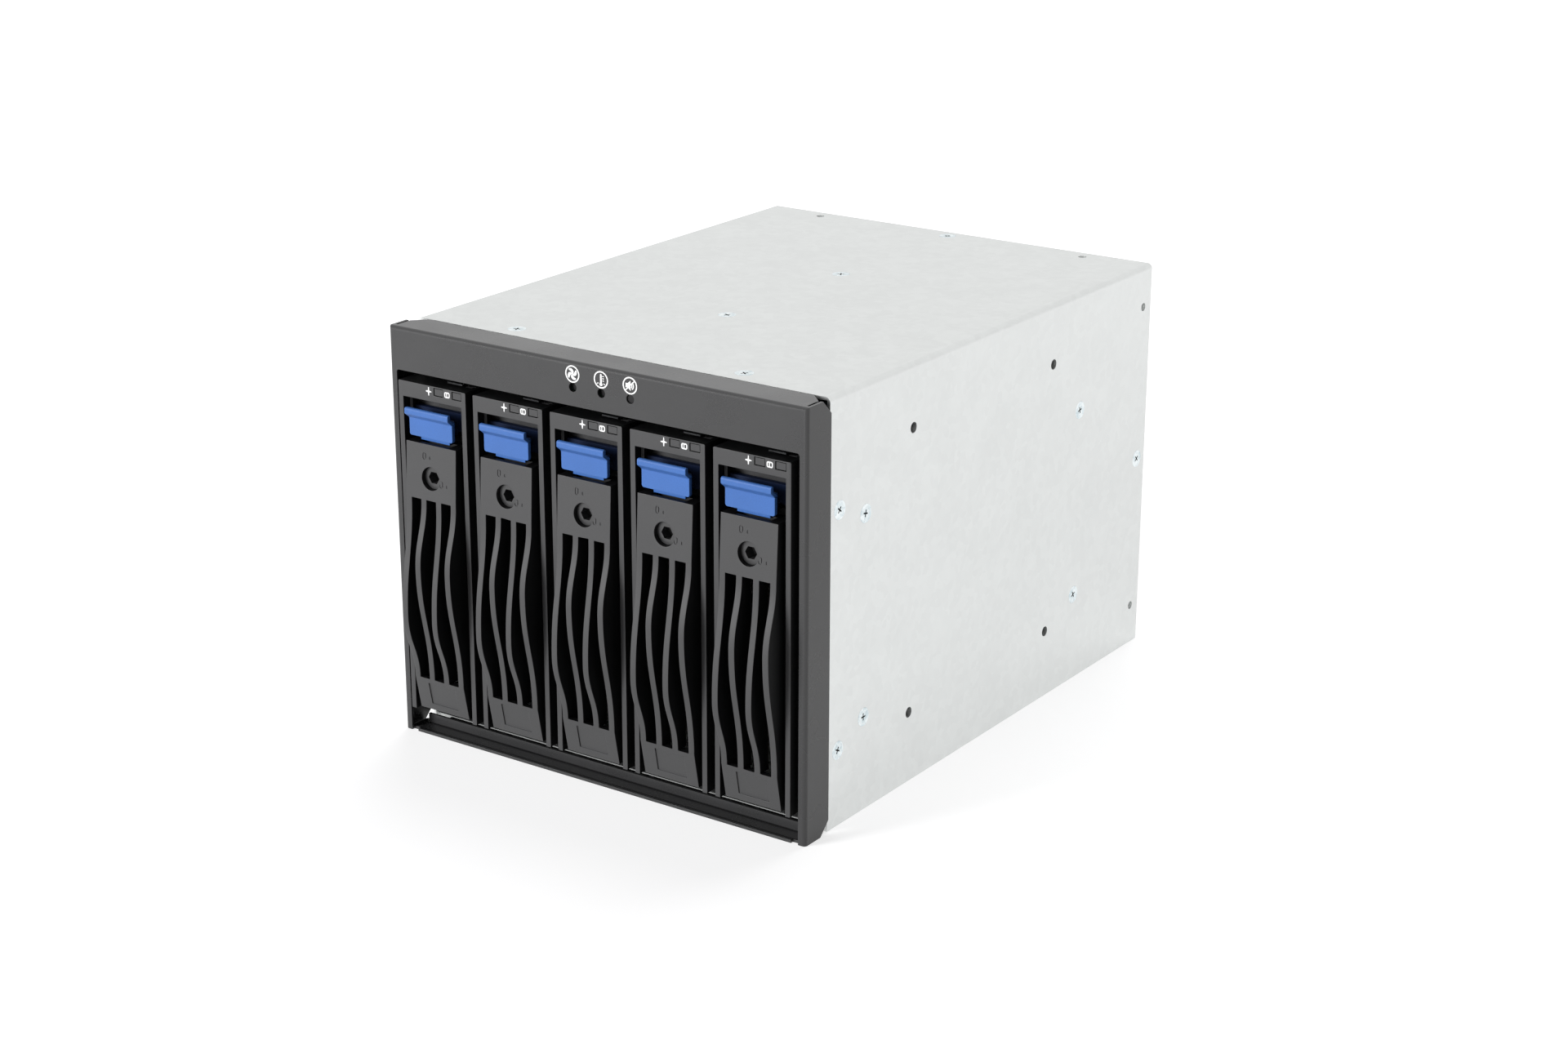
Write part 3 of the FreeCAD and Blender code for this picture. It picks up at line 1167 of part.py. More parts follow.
posts = []
for step, (x, z) in enumerate(post_spots):
    stem = doc.addObject("Part::Prism", "post_hex_%d" % step)
    stem.Polygon = 6
    stem.Placement = FreeCAD.Placement(FreeCAD.Vector(), TURNS["+y"])
    bind(stem, Circumradius="post_radius", Height=panel_inner + " - " + board_back, x=x,
         y=board_back, z=z)
    neck = rod("post_neck_%d" % step, "screw_shank", "rear_wall + 1", "+y", x,
               "shell_back - rear_wall - 0.5", z)
    cap = rod("post_cap_%d" % step, "post_radius", "post_cap", "+y", x, "shell_back", z)
    posts.append(fuse("post_%d" % step, [stem, neck, cap]))
finish("board_standoffs", group("board_standoffs_group", posts))

# ------------------------------------------------------------------ fan
fan = doc.addObject("PartDesign::Body", "fan_body")
fan_half = "fan_size / 2"
pad(fan, "fan_block", sketch(fan, "fan_outline", "xz", [rectangle(
    "-" + fan_half, fan_half, "fan_middle - fan_size / 2", "fan_middle + fan_size / 2")],
    offset="-shell_back"), "fan_deep")
fillet(fan, "fan_corners", "fan_corner", lambda edge: along(edge, Y))
pocket(fan, "fan_bore_cut", sketch(fan, "fan_bore_plan", "xz", circles=[
    ("0", "fan_middle", "duct_radius")] + [(x, z, "fan_screw_hole") for x, z in fan_spots],
    offset="-shell_back + 1"), "fan_deep + 2")
spider = [rod("stator_disc", "rotor_core + 0.5", "stator_deep", "+y", "0",
              "shell_back + fan_deep - stator_deep", "fan_middle")]
arm_side = ("-stator_arm", "stator_arm")
arm_level = ("fan_middle - stator_arm", "fan_middle + stator_arm")
arm_run = "(duct_radius + 0.5)"
for step, (x_ends, z_ends) in enumerate((
        (("rotor_core", arm_run), arm_level), (("-" + arm_run, "-rotor_core"), arm_level),
        (arm_side, ("fan_middle + rotor_core", "fan_middle + " + arm_run)),
        (arm_side, ("fan_middle - " + arm_run, "fan_middle - rotor_core")))):
    spider.append(box("stator_arm_%d" % step, x_ends,
                      ("shell_back + fan_deep - stator_deep", "shell_back + fan_deep"),
                      z_ends))
finish("fan_frame", fuse("fan_frame_solid", [fan] + spider))


def blade():
    """A thin ruled blade, steep at the hub and flat at the tip."""
    sections = []
    for radius, chord, pitch in (
            (size("rotor_core") - size("hub_wall") / 2, size("root_chord"), ROOT_PITCH),
            (size("blade_tip"), size("tip_chord"), TIP_PITCH)):
        tilt = math.radians(pitch)
        run = FreeCAD.Vector(math.cos(tilt), math.sin(tilt), 0) * (chord / 2)
        thick = FreeCAD.Vector(-math.sin(tilt), math.cos(tilt), 0) * (size("blade_wall") / 2)
        middle = FreeCAD.Vector(0, size("shell_back") + size("blade_in"), size("fan_middle") + radius)
        corners = [middle - run - thick, middle + run - thick, middle + run + thick,
                   middle - run + thick]
        sections.append(Part.makePolygon(corners + corners[:1]))
    return Part.makeLoft(sections, True, True)


fan_centre = FreeCAD.Vector(0, 0, size("fan_middle"))
rotor_parts = []
for step in range(BLADES):
    copy = blade()
    copy.rotate(fan_centre, Y, 360.0 * step / BLADES)
    rotor_parts.append(copy)
hub_long = size("fan_deep") - size("stator_deep") - size("rotor_play") - size("hub_in")
hub = Part.makeCylinder(size("rotor_core"), hub_long,
                        fan_centre + Y * (size("shell_back") + size("hub_in")), Y)
inner_hub = Part.makeCylinder(size("rotor_core") - size("hub_wall"), hub_long,
                              fan_centre + Y * (size("shell_back") + size("hub_in")
                                                + size("hub_wall")), Y)
axle = Part.makeCylinder(size("axle_radius"), hub_long + size("rotor_play") - size("run_clear") - 0.2,
                         fan_centre + Y * (size("shell_back") + size("hub_in") + 0.2), Y)
rotor = doc.addObject("Part::Feature", "rotor_shape")
rotor.Shape = hub.cut(inner_hub).multiFuse(rotor_parts + [axle]).removeSplitter()
finish("fan_rotor", rotor)

guard_front = "shell_back + fan_deep"
rings = []
for step in range(3):
    radius = "(ring_first + %d * ring_step)" % step
    outer = rod("ring_outer_%d" % step, radius + " + guard_rib", "guard_wall", "+y", "0",
                guard_front, "fan_middle")
    inner = rod("ring_inner_%d" % step, radius, "guard_wall + 2", "+y", "0",
                guard_front + " - 1", "fan_middle")
    rings.append(cut("ring_%d" % step, outer, [inner]))
for step, turn in enumerate((45, -45)):
    arm = doc.addObject("Part::Box", "guard_arm_%d" % step)
    arm.Placement = FreeCAD.Placement(FreeCAD.Vector(), FreeCAD.Rotation(Y, turn))
    reach = "fan_screw_run / sqrt(2)"
    turned = "-(%s) * sqrt(0.5) %s guard_rib / 2 * sqrt(0.5)"
    bind(arm, Length="2 * " + reach, Width="guard_wall", Height="guard_rib",
         x=turned % (reach, "-" if turn > 0 else "+"), y=guard_front,
         z="fan_middle %s %s * sqrt(0.5) - guard_rib / 2 * sqrt(0.5)"
         % ("+" if turn > 0 else "-", reach))
    rings.append(arm)
eyes = [rod("eye_%d" % step, "guard_eye", "guard_wall", "+y", x, guard_front, z)
        for step, (x, z) in enumerate(fan_spots)]
eye_holes = [rod("eye_hole_%d" % step, "fan_screw_hole", "guard_wall + 2", "+y", x,
                 guard_front + " - 1", z) for step, (x, z) in enumerate(fan_spots)]
finish("fan_guard", cut("fan_guard_solid", fuse("guard_net", rings + eyes), eye_holes))

bolts = []
for step, (x, z) in enumerate(fan_spots):
    stem = rod("bolt_stem_%d" % step, "fan_screw_hole - pin_clear",
               "fan_deep + guard_wall + rear_wall + 1.5", "+y", x,
               "shell_back - rear_wall - 1.5", z)
    cap = rod("bolt_cap_%d" % step, "bolt_head", "bolt_cap", "+y", x,
              guard_front + " + guard_wall", z)
    bolts.append(fuse("bolt_%d" % step, [stem, cap]))
finish("fan_screws", group("fan_screws_group", bolts))

# ------------------------------------------------------------------ check and write
doc.recompute()
for thing in doc.Objects:
    if {"Invalid", "Error"} & set(thing.State):
        raise RuntimeError("%s (%s) failed: %s" % (thing.Name, thing.Label, thing.State))
for piece in pieces:
    if piece.Shape.isNull() or not piece.Shape.isValid():
        raise RuntimeError(piece.Label + " has no valid shape")
    if not piece.Shape.Solids:
        raise RuntimeError(piece.Label + " has no solid")
labels = [piece.Label for piece in pieces]
if len(set(labels)) != len(labels):
    raise RuntimeError("two pieces share a name")
os.makedirs("parts", exist_ok=True)
for piece in pieces:
    piece.Shape.exportStep("parts/%s.step" % piece.Label)
print(len(pieces), "pieces written")
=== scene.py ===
import json
import math

import bpy
from mathutils import Matrix, Vector

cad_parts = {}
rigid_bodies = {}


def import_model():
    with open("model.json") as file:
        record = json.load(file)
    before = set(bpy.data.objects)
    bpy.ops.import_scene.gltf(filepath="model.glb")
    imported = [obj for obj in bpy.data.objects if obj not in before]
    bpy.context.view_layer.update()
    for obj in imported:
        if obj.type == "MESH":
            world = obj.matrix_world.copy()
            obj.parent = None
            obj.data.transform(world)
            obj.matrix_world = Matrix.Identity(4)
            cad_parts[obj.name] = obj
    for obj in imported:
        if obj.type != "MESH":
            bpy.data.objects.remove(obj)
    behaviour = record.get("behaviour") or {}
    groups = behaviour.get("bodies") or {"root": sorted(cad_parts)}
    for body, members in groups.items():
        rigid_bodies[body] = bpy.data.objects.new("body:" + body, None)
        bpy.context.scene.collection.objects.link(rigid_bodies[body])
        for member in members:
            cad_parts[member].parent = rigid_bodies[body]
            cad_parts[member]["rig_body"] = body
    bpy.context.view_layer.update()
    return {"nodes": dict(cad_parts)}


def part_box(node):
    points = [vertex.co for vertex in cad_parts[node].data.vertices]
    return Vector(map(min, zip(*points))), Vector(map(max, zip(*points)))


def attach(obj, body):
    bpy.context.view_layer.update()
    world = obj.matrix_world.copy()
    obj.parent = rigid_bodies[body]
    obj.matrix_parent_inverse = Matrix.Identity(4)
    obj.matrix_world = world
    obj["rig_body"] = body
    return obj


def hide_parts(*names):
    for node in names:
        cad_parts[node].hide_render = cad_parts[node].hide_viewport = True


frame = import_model()

# ---- Outer shell and the folded steel inside it --------------------------------------------
# Shell, floor pan, guide plate, spine, rear panel and sleds are galvanised steel sheet, punched
# flat and folded.  Molten zinc freezes in grains a few millimetres wide, so the sheet is pale
# grey with a faint mottle and a soft sheen.
MM = 0.001
zinc_grain = 2.4 * MM
zinc_cloud = 14 * MM
steel_cloud = 4 * MM
merge_distance = 0.002 * MM
sharp_edge = math.radians(32)
flat_edge = math.radians(0.5)


def linear(colour):
    """Turn an sRGB hex colour into the linear values that Blender mixes."""
    values = [int(colour[start:start + 2], 16) / 255 for start in (1, 3, 5)]
    return [value / 12.92 if value < 0.04045 else ((value + 0.055) / 1.055) ** 2.4
            for value in values] + [1.0]


def add_node(material, kind, links=None, **settings):
    """Add one node; links fills its inputs with values or with other nodes' outputs."""
    added = material.node_tree.nodes.new(kind)
    for name, value in settings.items():
        setattr(added, name, value)
    for name, value in (links or {}).items():
        if isinstance(value, bpy.types.NodeSocket):
            material.node_tree.links.new(value, added.inputs[name])
        else:
            added.inputs[name].default_value = value
    return added


def new_finish(name, metallic=0.0):
    """Start a material: returns it, its shader and the coordinates its patterns follow."""
    finish = bpy.data.materials.new(name)
    finish.use_nodes = True
    shader = finish.node_tree.nodes["Principled BSDF"]
    shader.inputs["Metallic"].default_value = metallic
    return finish, shader, add_node(finish, "ShaderNodeTexCoord").outputs["Object"]


galvanised, surface, place = new_finish("galvanised_sheet_steel", 1.0)
grains = add_node(galvanised, "ShaderNodeTexVoronoi", {"Vector": place,
                                                       "Scale": 1 / zinc_grain,
                                                       "Randomness": 1.0})
grain_tone = add_node(galvanised, "ShaderNodeSeparateColor",
                      {"Color": grains.outputs["Color"]}).outputs["Red"]
clouds = add_node(galvanised, "ShaderNodeTexNoise", {"Vector": place, "Scale": 1 / zinc_cloud,
                                                     "Detail": 5.0, "Roughness": 0.62})
tone = add_node(galvanised, "ShaderNodeMix", {"Factor": 0.62, "A": grain_tone,
                                              "B": clouds.outputs["Fac"]}, data_type="FLOAT")
zinc = add_node(galvanised, "ShaderNodeValToRGB", {"Fac": tone.outputs["Result"]})
zinc.color_ramp.elements[0].position = 0.3
zinc.color_ramp.elements[0].color = linear("#dbdddc")
zinc.color_ramp.elements[1].position = 0.72
zinc.color_ramp.elements[1].color = linear("#e1e3e2")
galvanised.node_tree.links.new(zinc.outputs["Color"], surface.inputs["Base Color"])
sheen = add_node(galvanised, "ShaderNodeMapRange", {"Value": grain_tone, "To Min": 0.42,
                                                    "To Max": 0.50})
galvanised.node_tree.links.new(sheen.outputs["Result"], surface.inputs["Roughness"])
relief = add_node(galvanised, "ShaderNodeBump", {"Height": tone.outputs["Result"],
                                                 "Strength": 0.03, "Distance": 0.2 * MM})
galvanised.node_tree.links.new(relief.outputs["Normal"], surface.inputs["Normal"])


def finish_with(material, *names):
    """Give CAD nodes their finish; the mesh stays as it is."""
    for name in names:
        for slot in frame["nodes"][name].material_slots:
            slot.material = material


def pick(piece):
    """Select one piece alone and make it active."""
    bpy.ops.object.select_all(action="DESELECT")
    piece.select_set(True)
    bpy.context.view_layer.objects.active = piece


def even_shading(piece):
    """Smooth the rounded edges and keep the flats flat."""
    pick(piece)
    bpy.ops.mesh.customdata_custom_splitnormals_clear()
    bpy.ops.object.shade_smooth_by_angle(angle=sharp_edge)
    even = piece.modifiers.new("even", "WEIGHTED_NORMAL")
    even.keep_sharp = True
    bpy.ops.object.modifier_apply(modifier=even.name)


def softened(name, width, material):
    """A copy of a CAD node with slightly rounded edges, as folding or moulding leaves them."""
    source = frame["nodes"][name]
    piece = bpy.data.objects.new(name + "_body", source.data.copy())
    bpy.context.scene.collection.objects.link(piece)
    pick(piece)
    bpy.ops.object.mode_set(mode="EDIT")
    bpy.ops.mesh.select_all(action="SELECT")
    bpy.ops.mesh.customdata_custom_splitnormals_clear()
    bpy.ops.mesh.remove_doubles(threshold=merge_distance)
    bpy.ops.mesh.dissolve_limited(angle_limit=flat_edge)
    bpy.ops.mesh.normals_make_consistent(inside=False)
    bpy.ops.object.mode_set(mode="OBJECT")
    bevel = piece.modifiers.new("edges", "BEVEL")
    bevel.width = width
    bevel.segments = 2
    bevel.limit_method = "ANGLE"
    bevel.angle_limit = sharp_edge
    bevel.use_clamp_overlap = False
    bpy.ops.object.modifier_apply(modifier=bevel.name)
    even_shading(piece)
    piece.data.materials.clear()
    piece.data.materials.append(material)
    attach(piece, source["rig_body"])
    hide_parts(name)
    return piece


finish_with(galvanised, "outer_shell", "floor_pan", "upper_guide_plate", "top_spine",
            "rear_panel")
# Spring fingers: dark grey steel, in faint clouds.
spring_steel, surface, place = new_finish("dark_spring_steel", 1.0)
steel_clouds = add_node(spring_steel, "ShaderNodeTexNoise", {"Vector": place,
                                                      "Scale": 1 / steel_cloud,
                                                      "Detail": 3.0})
steel_tone = add_node(spring_steel, "ShaderNodeValToRGB", {"Fac": steel_clouds.outputs["Fac"]})
steel_tone.color_ramp.elements[0].position = 0.3
steel_tone.color_ramp.elements[0].color = linear("#3a3b3c")
steel_tone.color_ramp.elements[1].position = 0.7
steel_tone.color_ramp.elements[1].color = linear("#4c4d4f")
spring_steel.node_tree.links.new(steel_tone.outputs["Color"], surface.inputs["Base Color"])
surface.inputs["Roughness"].default_value = 0.45
finish_with(spring_steel, "bay_fingers")

# ---- Screws of the shell -------------------------------------------------------------------
# Countersunk steel screws with a cross recess hold the shell to the pieces inside it.  Bright
# zinc plate makes them cooler and smoother than the sheet; the recess walls get a dark mottled
# material, painted shade for the inside of the recess.
screw_head = 2.75 * MM
screw_rim = 0.15 * MM
screw_taper = 0.85 * MM
screw_neck = 1.1 * MM
screw_ring = 0.25 * MM
ring_sunk = 0.04 * MM
screw_recess = 0.8 * MM
recess_reach = 0.59
recess_wide = 0.24
screw_turn = 0.9
square_on = 0.9
plate_stain = 1.5 * MM
recess_shade_mottle = 0.8 * MM

zinc_plate, surface, place = new_finish("bright_zinc_plate", 1.0)
stain = add_node(zinc_plate, "ShaderNodeTexNoise", {"Vector": place, "Scale": 1 / plate_stain,
                                                    "Detail": 3.0})
plate_tone = add_node(zinc_plate, "ShaderNodeValToRGB", {"Fac": stain.outputs["Fac"]})
plate_tone.color_ramp.elements[0].position = 0.35
plate_tone.color_ramp.elements[0].color = linear("#c9d6da")
plate_tone.color_ramp.elements[1].position = 0.65
plate_tone.color_ramp.elements[1].color = linear("#eef4f5")
zinc_plate.node_tree.links.new(plate_tone.outputs["Color"], surface.inputs["Base Color"])
polish = add_node(zinc_plate, "ShaderNodeMapRange", {"Value": stain.outputs["Fac"],
                                                     "To Min": 0.2, "To Max": 0.34})
zinc_plate.node_tree.links.new(polish.outputs["Result"], surface.inputs["Roughness"])

# A dark mottled metal for the walls of the cross recess: painted shade, not a finish of the
# screw.
painted_recess_shade, surface, place = new_finish("painted_shade_screw_recess", 1.0)
surface.inputs["Roughness"].default_value = 0.6
film = add_node(painted_recess_shade, "ShaderNodeTexNoise", {"Vector": place, "Scale": 1 / recess_shade_mottle})
recess_shade_tone = add_node(painted_recess_shade, "ShaderNodeValToRGB", {"Fac": film.outputs["Fac"]})
recess_shade_tone.color_ramp.elements[0].color = linear("#1c1e1f")
recess_shade_tone.color_ramp.elements[1].color = linear("#4a4d4f")
painted_recess_shade.node_tree.links.new(recess_shade_tone.outputs["Color"], surface.inputs["Base Color"])


def chosen_faces(piece, test):
    """Select the faces of a piece in edit mode whose middle and normal pass the test."""
    bpy.ops.object.mode_set(mode="OBJECT")
    for part in (piece.data.vertices, piece.data.edges):
        part.foreach_set("select", [False] * len(part))
    for face in piece.data.polygons:
        face.select = test(face.center, face.normal)
    bpy.ops.object.mode_set(mode="EDIT")


def cross_recess(screw, reach, wide, deep):
    """Cut a tapered cross into the top of a screw at the origin; its walls get painted shade."""
    tip_share = 0.35
    skin = 0.06 * MM
    for turn in (0, math.pi / 2):
        bpy.ops.object.select_all(action="DESELECT")
        bpy.ops.mesh.primitive_cube_add(size=1, location=(0, 0, 0),
                                        scale=(2 * reach, wide, 2 * deep))
        arm = bpy.context.object
        arm.data.transform(arm.matrix_basis)
        arm.matrix_basis = Matrix.Rotation(turn, 4, "Z")
        chosen_faces(arm, lambda middle, normal: normal.z < -square_on)
        bpy.ops.transform.resize(value=(tip_share, tip_share, 1), center_override=(0, 0, 0))
        bpy.ops.object.mode_set(mode="OBJECT")
        recess = screw.modifiers.new("recess", "BOOLEAN")
        recess.object = arm
        recess.operation = "DIFFERENCE"
        recess.solver = "EXACT"
        bpy.context.view_layer.objects.active = screw
        bpy.ops.object.modifier_apply(modifier=recess.name)
        bpy.data.objects.remove(arm)
    screw.data.materials.clear()
    screw.data.materials.append(zinc_plate)
    screw.data.materials.append(painted_recess_shade)
    # Faces inside the recess take the second material: painted shade.
    for face in screw.data.polygons:
        middle = face.center
        if -1.05 * deep < middle.z < -skin and math.hypot(middle.x, middle.y) < reach:
            face.material_index = 1


def cross_screw(name, radius, wall):
    """A countersunk screw that points down -Z, with its head face at Z 0."""
    bpy.ops.object.select_all(action="DESELECT")
    bpy.ops.mesh.primitive_cylinder_add(vertices=32, radius=radius, depth=screw_rim,
                                        location=(0, 0, -screw_rim / 2))
    screw = bpy.context.object
    screw.name = name
    bpy.ops.object.transform_apply(location=True)
    chosen_faces(screw, lambda middle, normal: normal.z < -square_on)
    shrink = (radius - wall) / radius
    bpy.ops.mesh.extrude_region_move(TRANSFORM_OT_translate={"value": (0, 0, -screw_taper)})
    bpy.ops.transform.resize(value=(shrink, shrink, 1))
    bpy.ops.mesh.extrude_region_move(TRANSFORM_OT_translate={"value": (0, 0, -screw_neck)})
    chosen_faces(screw, lambda middle, normal: normal.z > square_on)
    bpy.ops.mesh.inset(thickness=screw_ring)
    bpy.ops.transform.translate(value=(0, 0, -ring_sunk))
    bpy.ops.object.mode_set(mode="OBJECT")
    cross_recess(screw, recess_reach * radius, recess_wide * radius, screw_recess)
    return screw


def loose_boxes(name):
    """The lowest and highest corner of each separate solid of a CAD node."""
    scratch = bpy.data.objects.new("scratch", frame["nodes"][name].data.copy())
    bpy.context.scene.collection.objects.link(scratch)
    pick(scratch)
    bpy.ops.object.mode_set(mode="EDIT")
    bpy.ops.mesh.select_all(action="SELECT")
    bpy.ops.mesh.remove_doubles(threshold=merge_distance)
    bpy.ops.mesh.separate(type="LOOSE")
    bpy.ops.object.mode_set(mode="OBJECT")
    boxes = []
    for part in list(bpy.context.selected_objects):
        spots = [corner.co for corner in part.data.vertices]
        boxes.append((Vector([min(spot[axis] for spot in spots) for axis in range(3)]),
                      Vector([max(spot[axis] for spot in spots) for axis in range(3)])))
        bpy.data.objects.remove(part)
    return boxes


shell_low, shell_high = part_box("outer_shell")
master = cross_screw("screw_master", screw_head, 1.0 * MM)
for number, (low, high) in enumerate(loose_boxes("shell_screws"), start=1):
    middle = (low + high) / 2
    if shell_high.z - high.z < MM:
        spot, way = Vector((middle.x, middle.y, shell_high.z)), Vector((0, 0, 1))
    elif middle.x > 0:
        spot, way = Vector((shell_high.x, middle.y, middle.z)), Vector((1, 0, 0))
    else:
        spot, way = Vector((shell_low.x, middle.y, middle.z)), Vector((-1, 0, 0))
    screw = bpy.data.objects.new("shell_screw_%d" % number, master.data.copy())
    bpy.context.scene.collection.objects.link(screw)
    spun = Matrix.Rotation(number * screw_turn, 4, "Z")
    screw.data.transform(Matrix.Translation(spot)
                         @ way.to_track_quat("Z", "Y").to_matrix().to_4x4() @ spun)
    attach(screw, "cage")
    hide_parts("shell_screws")
bpy.data.objects.remove(master)

# ---- Moulded rails -------------------------------------------------------------------------
# Glass filled nylon, injection moulded, laid in the pan and under the guide plate: a dry black
# with an even grain from the spark eroded mould.  Real grain is too fine to show, so here and
# on every later plastic and coat it is drawn 0.3 to 0.8 mm wide.
flow_cloud = 18 * MM


def moulded(name, colour, grain, roughness, strength, shine=0.5):
    """A plastic or a coat: one colour, a fine grain of the given size and uneven gloss."""
    plastic, surface, place = new_finish(name)
    surface.inputs["Specular IOR Level"].default_value = shine
    fine = add_node(plastic, "ShaderNodeTexNoise", {"Vector": place, "Scale": 1 / grain,
                                                    "Detail": 2.0, "Roughness": 0.6})
    broad = add_node(plastic, "ShaderNodeTexNoise", {"Vector": place, "Scale": 1 / flow_cloud,
                                                     "Detail": 3.0})
    shade = add_node(plastic, "ShaderNodeMix", {"Factor": 0.5, "A": fine.outputs["Fac"],
                                                "B": broad.outputs["Fac"]}, data_type="FLOAT")
    tint = add_node(plastic, "ShaderNodeValToRGB", {"Fac": shade.outputs["Result"]})
    tint.color_ramp.elements[0].position = 0.3
    tint.color_ramp.elements[0].color = [part * 0.88 for part in linear(colour)[:3]] + [1.0]
    tint.color_ramp.elements[1].position = 0.7
    tint.color_ramp.elements[1].color = [part * 1.1 for part in linear(colour)[:3]] + [1.0]
    plastic.node_tree.links.new(tint.outputs["Color"], surface.inputs["Base Color"])
    gloss = add_node(plastic, "ShaderNodeMapRange", {
        "Value": broad.outputs["Fac"], "From Min": 0.3, "From Max": 0.7,
        "To Min": roughness - 0.04, "To Max": roughness + 0.05})
    plastic.node_tree.links.new(gloss.outputs["Result"], surface.inputs["Roughness"])
    relief = add_node(plastic, "ShaderNodeBump", {"Height": fine.outputs["Fac"],
                                                  "Strength": strength,
                                                  "Distance": grain * 0.25})
    plastic.node_tree.links.new(relief.outputs["Normal"], surface.inputs["Normal"])
    return plastic


filled_nylon = moulded("glass_filled_nylon", "#29292a", 0.4 * MM, 0.5, 0.25)
finish_with(filled_nylon, "lower_rails", "upper_rails")

# ---- Backplane -----------------------------------------------------------------------------
# Glass epoxy circuit board under green solder mask, whose tracks, drawn wider than real ones,
# show as a faint weave.  It carries black nylon sockets for the drives and data plugs and
# natural nylon ones for power, and zinc plated posts hold it off the rear panel.
track_spacing = 2.4 * MM
solder_mask, surface, place = new_finish("green_solder_mask")
surface.inputs["Roughness"].default_value = 0.3
tracks = add_node(solder_mask, "ShaderNodeTexBrick", {
    "Vector": place, "Scale": 1 / track_spacing, "Color1": linear("#125232"),
    "Color2": linear("#0f482c"), "Mortar": linear("#1d6b43"), "Mortar Size": 0.035,
    "Brick Width": 2.6, "Row Height": 0.45})
solder_mask.node_tree.links.new(tracks.outputs["Color"], surface.inputs["Base Color"])
black_nylon = moulded("black_nylon_socket", "#202021", 0.3 * MM, 0.42, 0.15)
natural_nylon = moulded("natural_nylon_socket", "#ddd6c3", 0.4 * MM, 0.4, 0.15)
finish_with(solder_mask, "backplane_board", "indicator_board")
finish_with(black_nylon, "drive_connectors", "data_ports", "board_components")
finish_with(natural_nylon, "power_sockets")
finish_with(zinc_plate, "board_standoffs")

# ---- Fan -----------------------------------------------------------------------------------
# An 80 mm axial fan: frame and impeller in glass filled polyester, moulded and left dull,
# under a guard of zinc plated wire that is spot welded where the wires cross.  Four domed
# screws hold guard and fan to the rear panel.
polyester = moulded("glass_filled_polyester", "#1f1f20", 0.5 * MM, 0.45, 0.2)
finish_with(polyester, "fan_frame", "fan_rotor")

wire = 0.8 * MM
ring_radii = (12.9 * MM, 22.9 * MM, 32.9 * MM)
eye_radius = 3.1 * MM
hub_lift = 1.6 * wire
hub_radius = 2.6 * wire
hub_reach = 2.2 * wire
spoke_lift = 0.6 * wire
spoke_flat = 0.05
spoke_bent = 0.12
spoke_low = 0.3
facing_back = (math.pi / 2, 0, 0)
guard_low, guard_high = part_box("fan_guard")
fan_spot = Vector(((guard_low.x + guard_high.x) / 2, guard_low.y,
                   (guard_low.z + guard_high.z) / 2))
bolts = loose_boxes("fan_screws")
wires = []
for radius in ring_radii:
    bpy.ops.mesh.primitive_torus_add(
        location=fan_spot + Vector((0, wire, 0)), rotation=facing_back,
        major_radius=radius, minor_radius=wire, major_segments=72, minor_segments=10)
    wires.append(bpy.context.object)
for low, high in bolts:
    eye_spot = Vector(((low.x + high.x) / 2, fan_spot.y + wire, (low.z + high.z) / 2))
    bpy.ops.mesh.primitive_torus_add(
        location=eye_spot, rotation=facing_back,
        major_radius=eye_radius, minor_radius=wire, major_segments=32, minor_segments=10)
    wires.append(bpy.context.object)
    inward = Vector((fan_spot.x - eye_spot.x, 0, fan_spot.z - eye_spot.z))
    start = eye_spot + inward.normalized() * eye_radius
    end = fan_spot + Vector((0, hub_lift, 0)) + inward.normalized() * hub_reach
    rise = start + inward * spoke_bent + Vector((0, spoke_lift, 0))
    spoke = bpy.data.curves.new("spoke", "CURVE")
    spoke.dimensions = "3D"
    spoke.bevel_depth = wire
    spoke.bevel_resolution = 3
    line = spoke.splines.new("NURBS")
    line.points.add(4)
    for point, passed in zip(line.points, (start, start + inward * spoke_flat, rise,
                                           rise.lerp(end, spoke_low), end)):
        point.co = (*passed, 1.0)
    line.order_u = 3
    line.use_endpoint_u = True
    spoke.use_fill_caps = True
    holder = bpy.data.objects.new("spoke", spoke)
    bpy.context.scene.collection.objects.link(holder)
    pick(holder)
    bpy.ops.object.convert(target="MESH")
    wires.append(bpy.context.object)
bpy.ops.mesh.primitive_torus_add(
    location=fan_spot + Vector((0, hub_lift, 0)), rotation=facing_back,
    major_radius=hub_radius, minor_radius=wire, major_segments=24, minor_segments=10)
guard = bpy.context.object
guard.name = "fan_guard_wires"
for part in wires:
    part.select_set(True)
bpy.context.view_layer.objects.active = guard
bpy.ops.object.join()
bpy.ops.object.transform_apply(location=True, rotation=True, scale=True)
bpy.ops.object.shade_smooth()
guard.data.materials.clear()
guard.data.materials.append(zinc_plate)
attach(guard, "cage")
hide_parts("fan_guard")

bolt_head = 3.8 * MM
bolt_rise = 2.2 * MM
bolt_dome = 1.3 * MM
bolt_shoulder = 1.0 * MM
bolt_recess = 1.2 * MM
bolt_reach = 0.6
bolt_wide = 0.22
bolt_turn = 1.1
bolt_long = bolts[0][1].y - bolts[0][0].y
bpy.ops.object.select_all(action="DESELECT")
bpy.ops.mesh.primitive_cylinder_add(vertices=40, radius=bolt_head, depth=bolt_rise,
                                    location=(0, 0, -bolt_rise / 2))
master = bpy.context.object
bpy.ops.object.transform_apply(location=True)
dome = master.modifiers.new("dome", "BEVEL")
dome.width = bolt_dome
dome.segments = 5
dome.limit_method = "ANGLE"
bpy.ops.object.modifier_apply(modifier=dome.name)
chosen_faces(master, lambda middle, normal: normal.z < -square_on)
bpy.ops.mesh.inset(thickness=bolt_shoulder)
bpy.ops.mesh.extrude_region_move(
    TRANSFORM_OT_translate={"value": (0, 0, -(bolt_long - bolt_rise))})
bpy.ops.object.mode_set(mode="OBJECT")
